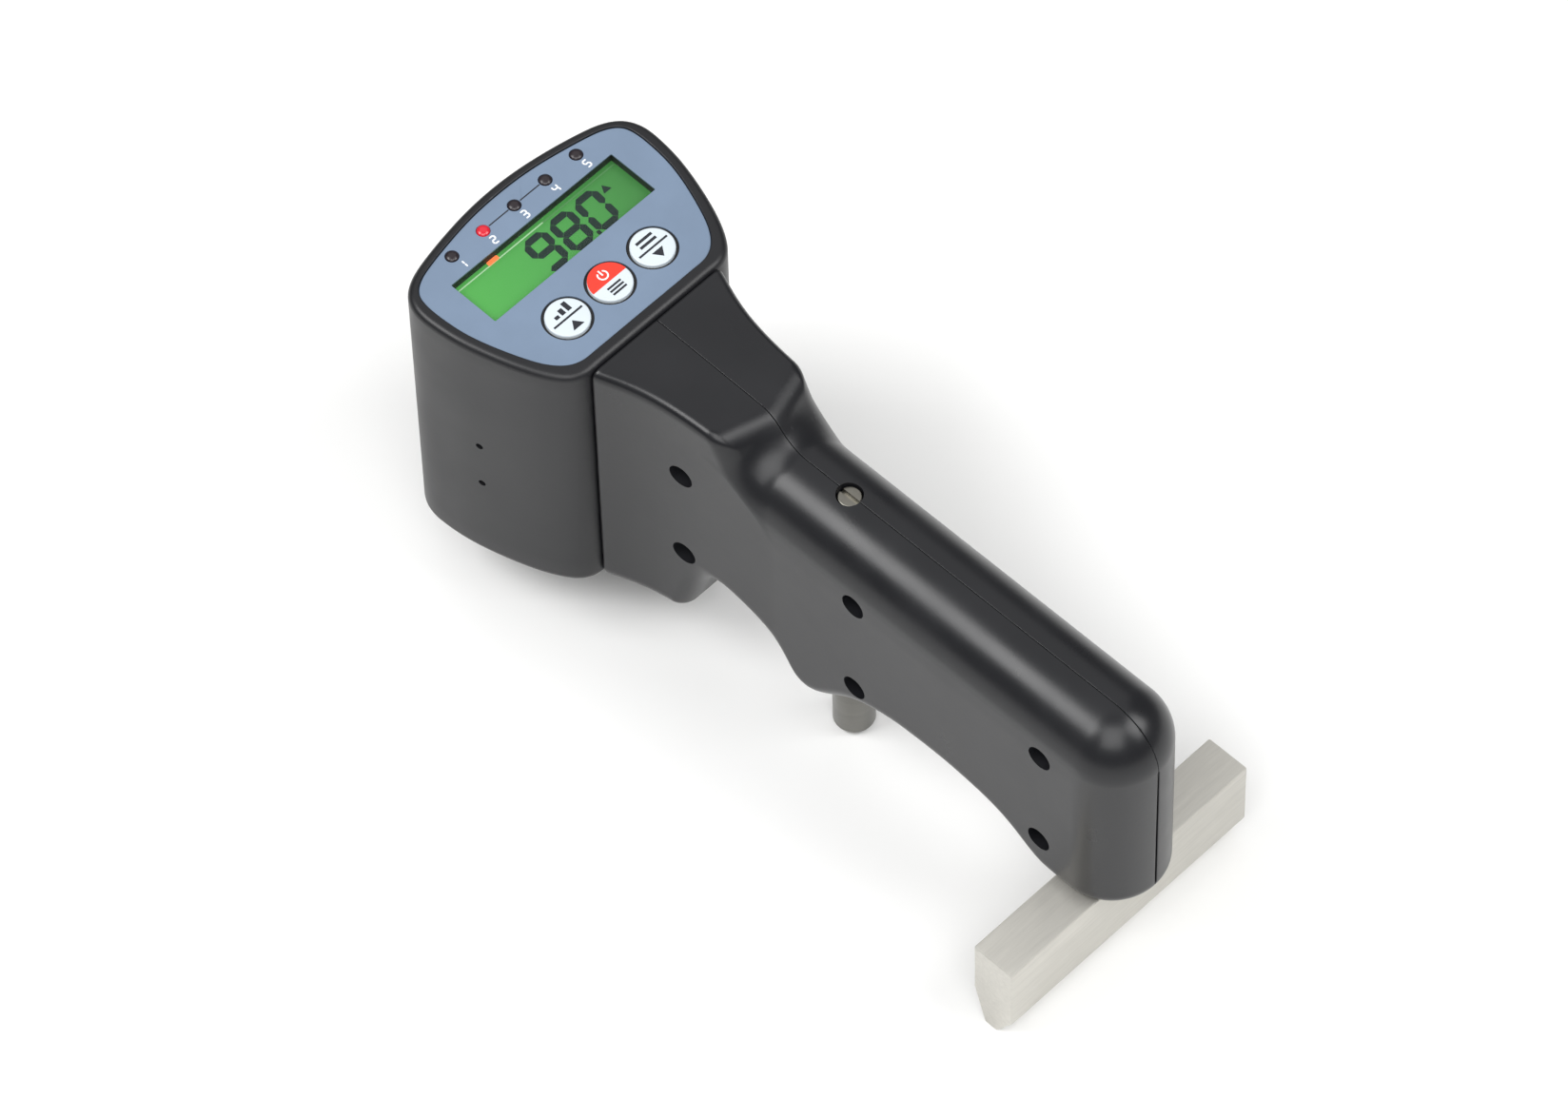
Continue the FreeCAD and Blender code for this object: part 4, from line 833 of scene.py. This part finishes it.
def key_ink(name, y, loops, mat, body):
    vs, fs = [], []
    for lp in loops:
        k = len(vs)
        m = len(lp)
        for p in lp:
            vs.append((KEYX + p[0], y + p[1], dome_z(p[0], p[1]) - 0.06))
        for p in lp:
            vs.append((KEYX + p[0], y + p[1], dome_z(p[0], p[1])))
        fs.append(tuple(range(k, k + m))[::-1])
        fs.append(tuple(range(k + m, k + 2 * m)))
        fs += [(k + j, k + (j + 1) % m, k + m + (j + 1) % m, k + m + j) for j in range(m)]
    v = lean(np.array(vs, float), PANEL)
    return outward(make(name, v, fs, mat, smooth=False, body=body))


def half_disc(r, n=40, rim=0.0):
    a = np.linspace(math.pi / 2, 3 * math.pi / 2, n)
    return np.column_stack([r * np.cos(a) - rim, r * np.sin(a)])


KEYS = [("key_cap_left", -KP, "button_left", "key_left"), ("key_cap_power", 0.0, "button_power", "key_power"),
        ("key_cap_right", KP, "button_right", "key_right")]
for nm, y, node, body in KEYS:
    key_cap(nm, y, node, body)
bar = strip(0.15, -3.6, 0.15, 3.6, 0.42)
key_ink("key_marks_left", -KP, [bar, np.array([(3.05, -1.35), (3.05, 1.35), (1.15, 0.0)]),
                                strip(-1.2, -2.0, -1.2, -1.0, 0.75), strip(-1.55, -0.5, -1.55, 0.5, 1.45), strip(-1.9, 1.0, -1.9, 2.0, 2.15)],
        M_INK_D, "key_left")
key_ink("key_marks_right", KP, [bar, np.array([(1.15, -1.35), (1.15, 1.35), (3.05, 0.0)]),
                                strip(-1.15, -2.0, -1.15, 2.0, 0.6), strip(-2.35, -2.0, -2.35, 2.0, 0.6)],
        M_INK_D, "key_right")
# power key: red front half with a ring-and-bar sign, white rear half with a menu sign
red = []
r0 = 4.22
a = np.linspace(math.pi / 2, 3 * math.pi / 2, 36)
o_arc = np.column_stack([r0 * np.cos(a), r0 * np.sin(a)])
o_arc[:, 0] -= 0.12
key_ink("key_power_red", 0.0, [o_arc], M_KEYRED, "key_power")


def dome_shift(name, dz):
    o = bpy.data.objects[name]
    o.data.transform(Matrix.Translation((0, 0, dz * 0.001)))


ringo = []
aa = np.linspace(math.radians(215), math.radians(505), 22)
for i in range(len(aa) - 1):
    p0, p1 = aa[i], aa[i + 1]
    ringo.append(np.array([(-1.95 + 1.15 * math.cos(p0), 1.15 * math.sin(p0)), (-1.95 + 1.15 * math.cos(p1), 1.15 * math.sin(p1)),
                           (-1.95 + 0.83 * math.cos(p1), 0.83 * math.sin(p1)), (-1.95 + 0.83 * math.cos(p0), 0.83 * math.sin(p0))]))
ringo.append(strip(-3.25, 0.0, -1.9, 0.0, 0.34))
key_ink("key_power_sign", 0.0, ringo, M_INK_W, "key_power")
dome_shift("key_power_sign", 0.02)
key_ink("key_power_menu", 0.0, [strip(1.0, -1.7, 1.0, 1.7, 0.42), strip(1.8, -1.7, 1.8, 1.7, 0.42), strip(2.6, -1.7, 2.6, 1.7, 0.42)],
        M_INK_D, "key_power")

# ------------------------------------------------------------------ lamps
M_LED_ON = mat_plain("lamp_lit", (0.42, 0.008, 0.02), 0.25, var=0.05, coat=0.3, emis=((1.0, 0.02, 0.04), 0.22))
M_LED_OFF = mat_plain("lamp_off", (0.012, 0.007, 0.010), 0.35, var=0.1, coat=0.15)
M_LED_CORE = mat_plain("lamp_core", (0.02, 0.006, 0.008), 0.3, coat=0.3)
off = None
vs, fs = [], []
for i, y in enumerate(LEDS):
    r = 1.3
    prof = [(r, 74.2), (r, Z_SHEET - 0.12)] + [(r * math.cos(math.radians(t)), Z_SHEET - 0.12 + 0.62 * math.sin(math.radians(t))) for t in (15, 30, 45, 60, 75, 88)]
    v, f = lathe(prof, 48)
    v = lean(v + np.array([LEDX, y, 0]), PANEL)
    if i == 1:
        o = make("lamp_on", v, f, M_LED_ON, angle=50, body="housing")
        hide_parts("led_lit")
    else:
        k = len(vs)
        vs += list(v)
        fs += [tuple(q + k for q in t) for t in f]
o = make("lamps_off", np.array(vs), fs, M_LED_OFF, angle=50, body="housing")
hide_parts("led_unlit")

# ------------------------------------------------------------------ metal pieces
M_BAR = mat_steel("bar_satin", (0.58, 0.565, 0.52), 0.42, (40.0, 2.5, 40.0), 30.0, 0.03, 0.6)
M_SLEEVE = mat_steel("sleeve_satin", (0.19, 0.186, 0.17), 0.28, (1.0, 1.0, 30.0), 40.0)
M_SCREW = mat_steel("screw_dark", (0.22, 0.21, 0.20), 0.34, (1, 1, 1), 900.0)
M_LSCREW = mat_steel("screw_bright", (0.26, 0.25, 0.22), 0.34, (1, 1, 1), 900.0)
M_INNER = mat_steel("inner_steel", (0.40, 0.40, 0.41), 0.35, (1, 1, 1), 700.0)


def foot_bar():
    prof = [(154.05, 22.86), (154.05, 9.6), (156.8, 0.0), (159.9, 0.0), (163.7, 6.3), (163.7, 22.86)]
    bm = bmesh.new()
    a = [bm.verts.new(tuple(P([x, -31.65, z]))) for x, z in prof]
    c = [bm.verts.new(tuple(P([x, 31.65, z]))) for x, z in prof]
    bm.faces.new(a)
    bm.faces.new(c[::-1])
    for i in range(6):
        j = (i + 1) % 6
        bm.faces.new((a[j], a[i], c[i], c[j]))
    bmesh.ops.recalc_face_normals(bm, faces=bm.faces)
    bmesh.ops.bevel(bm, geom=list(bm.edges), offset=0.00055, segments=3, profile=0.6, affect="EDGES")
    me = bpy.data.meshes.new("bar_solid")
    bm.to_mesh(me)
    bm.free()
    me.shade_smooth()
    me.set_sharp_from_angle(angle=math.radians(28))
    me.materials.append(M_BAR)
    o = bpy.data.objects.new("bar_solid", me)
    COLL.objects.link(o)
    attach(o, "housing")
    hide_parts("foot_bar")
    return o


foot_bar()

c = np.array([92.6, 0, 0])
prof = [(1.56, 38.3), (1.56, 1.05), (1.75, 0.78), (3.62, 0.76), (3.85, 0.83), (4.02, 1.0), (4.1, 1.25), (4.1, 38.0), (3.9, 38.4), (1.56, 38.4)]
v, f = lathe(prof, 128, caps=False)
o = outward(make("sleeve_tube", v + c, f, M_SLEEVE, angle=35, body="housing"))
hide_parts("point_sleeve")


def slotted(name, z0, z1, r, mat, body, node):
    prof = [(r, z0), (r, z1 - 0.3)] + [(r - 0.3 + 0.3 * math.cos(math.radians(t)), z1 - 0.3 + 0.3 * math.sin(math.radians(t))) for t in (30, 60, 90)] + [(r * 0.3, z1)]
    v, f = lathe(prof, 72)
    ob = outward(make(name, v + c, f, mat))
    a = np.array([[x, y, z] for z in (z1 - 1.1, z1 + 1) for x, y in ((88, -0.45), (97, -0.45), (97, 0.45), (88, 0.45))], float)
    bool_cut(ob, [cutter(a, [(0, 3, 2, 1), (4, 5, 6, 7), (0, 1, 5, 4), (1, 2, 6, 5), (2, 3, 7, 6), (3, 0, 4, 7)])])
    ob.data.set_sharp_from_angle(angle=math.radians(35))
    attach(ob, body)
    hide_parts(node)
    return ob


slotted("load_screw_top", 62.06, 73.25, 2.36, M_LSCREW, "load_screw", "load_screw")

# load spring: a wound wire
def wound(z0, z1, turns, rm, rw, n=36, m=10):
    k = int(turns * n)
    rows = []
    pitch = (z1 - z0) / turns
    for i in range(k + 1):
        a = 2 * math.pi * i / n
        ctr = np.array([rm * math.cos(a), rm * math.sin(a), z0 + pitch * i / n])
        er = np.array([math.cos(a), math.sin(a), 0.0])
        t = np.array([-rm * math.sin(a), rm * math.cos(a), pitch / (2 * math.pi)])
        t /= np.linalg.norm(t)
        up = np.cross(t, er)
        q = 2 * math.pi * np.arange(m) / m
        rows.append(ctr + rw * (np.cos(q)[:, None] * er + np.sin(q)[:, None] * up))
    v = np.concatenate(rows)
    f = grid_faces(k + 1, m, True)
    f.append(tuple(range(m))[::-1])
    f.append(tuple(range(k * m, k * m + m)))
    return v, f


M_SPRING = mat_steel("spring", (0.38, 0.38, 0.39), 0.3)
SZ0, SZ1 = 44.55, 59.95
v, f = wound(SZ0 + 0.51, SZ1 - 0.5, 6.0, 3.2, 0.5)
spring = outward(make("load_spring_wire", v + c, f, M_SPRING))
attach(spring, "housing")
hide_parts("load_spring")
tuple(P([92.6, 0, 60.0]))
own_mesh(spring)

# ------------------------------------------------------------------ finishes of the remaining solids
paint = {
    "display_bezel": M_DARK, "battery_door": mat_case("door_satin", 1.0, 0.45), "battery_holder": M_DARK,
    "lcd_backlight": mat_plain("light_guide", (0.75, 0.85, 0.7), 0.3), "display_board": mat_plain("board", (0.02, 0.12, 0.05), 0.4),
    "controller_chips": mat_plain("chips", (0.015, 0.015, 0.015), 0.5), "key_switches": mat_plain("switches", (0.08, 0.08, 0.08), 0.5),
    "board_screws": M_SCREW, "shell_screws": M_SCREW, "head_screws": M_SCREW, "foot_screws": M_SCREW,
    "battery_cells": mat_plain("cells", (0.30, 0.31, 0.33), 0.35, 0.6), "battery_contacts": mat_steel("contacts", (0.7, 0.7, 0.68), 0.25),
    "main_frame": M_INNER, "sleeve_lock_nut": M_INNER, "indenter_point": mat_steel("point", (0.5, 0.5, 0.5), 0.2),
    "plunger": M_INNER, "load_spring": M_SPRING, "spring_seat": M_INNER,
    "transfer_lever": M_INNER, "lever_pin": M_INNER, "sensor_body": M_INNER, "sensor_core": M_INNER,
}
for n, mt in paint.items():
    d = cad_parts[n].data
    d.materials.clear()
    d.materials.append(mt)

# ------------------------------------------------------------------ floor, light, camera
m, nt, b = material("floor_pale")
vv = coords(nt, 1.0)
nt.links.new(ramp(nt, noise(nt, vv, 6.0, 2.0), [(0.3, (0.86, 0.86, 0.85)), (0.7, (0.9, 0.9, 0.895))]), b.inputs["Base Color"])
b.inputs["Roughness"].default_value = 0.7
s = 3.0
fv = np.array([[-s, -s, 0], [s, -s, 0], [s, s, 0], [-s, s, 0]])
floor = make("floor", fv, [(0, 1, 2, 3)], m, smooth=False, mm=False)

world = bpy.data.worlds.new("soft")
scene.world = world
world.use_nodes = True
wn = world.node_tree
bg = wn.nodes["Background"]
bg.inputs["Color"].default_value = (1.0, 1.0, 1.0, 1)
bg.inputs["Strength"].default_value = 0.16


def area(name, loc, target, size, power, color=(1, 1, 1)):
    l = bpy.data.lights.new(name, "AREA")
    l.shape = "RECTANGLE"
    l.size, l.size_y = size
    l.energy = power
    l.color = color
    o = bpy.data.objects.new(name, l)
    COLL.objects.link(o)
    o.location = loc
    o.rotation_mode = "QUATERNION"
    o.rotation_quaternion = (Vector(target) - Vector(loc)).to_track_quat("-Z", "Y")
    return o


area("key", (-0.48, -0.60, 0.95), (0.02, 0, 0.04), (0.70, 0.50), 9.0)
area("sky", (-0.50, 0.48, 1.10), (0.0, 0, 0.04), (1.30, 1.30), 3.4)
area("top", (0.55, -0.62, 1.20), (0.0, 0, 0.04), (1.0, 1.0), 12.3)
area("fill", (0.78, 0.50, 1.05), (0.0, 0.04, 0.02), (0.8, 0.8), 11.0)

# camera fitted to the picture
C = (0.709998, -0.698868, 1.499079)
az, el, roll = math.radians(45.934), math.radians(55.860), math.radians(-1.867)
d = Vector((math.sin(az) * math.cos(el), -math.cos(az) * math.cos(el), math.sin(el)))
fwd = -d
right = fwd.cross(Vector((0, 0, 1))).normalized()
upc = right.cross(fwd)
r2 = right * math.cos(roll) + upc * math.sin(roll)
u2 = -right * math.sin(roll) + upc * math.cos(roll)
cam = bpy.data.cameras.new("cam")
cam.sensor_width = 36.0
cam.lens = 10000.0 / 1648.0 * 36.0
cam.shift_x = (824 - 818.178) / 1648.0
cam.shift_y = (638.176 - 588) / 1648.0
cam.clip_start, cam.clip_end = 0.05, 20.0
co = bpy.data.objects.new("cam", cam)
COLL.objects.link(co)
co.matrix_world = Matrix(((r2.x, u2.x, -fwd.x, C[0]), (r2.y, u2.y, -fwd.y, C[1]), (r2.z, u2.z, -fwd.z, C[2]), (0, 0, 0, 1)))
scene.camera = co
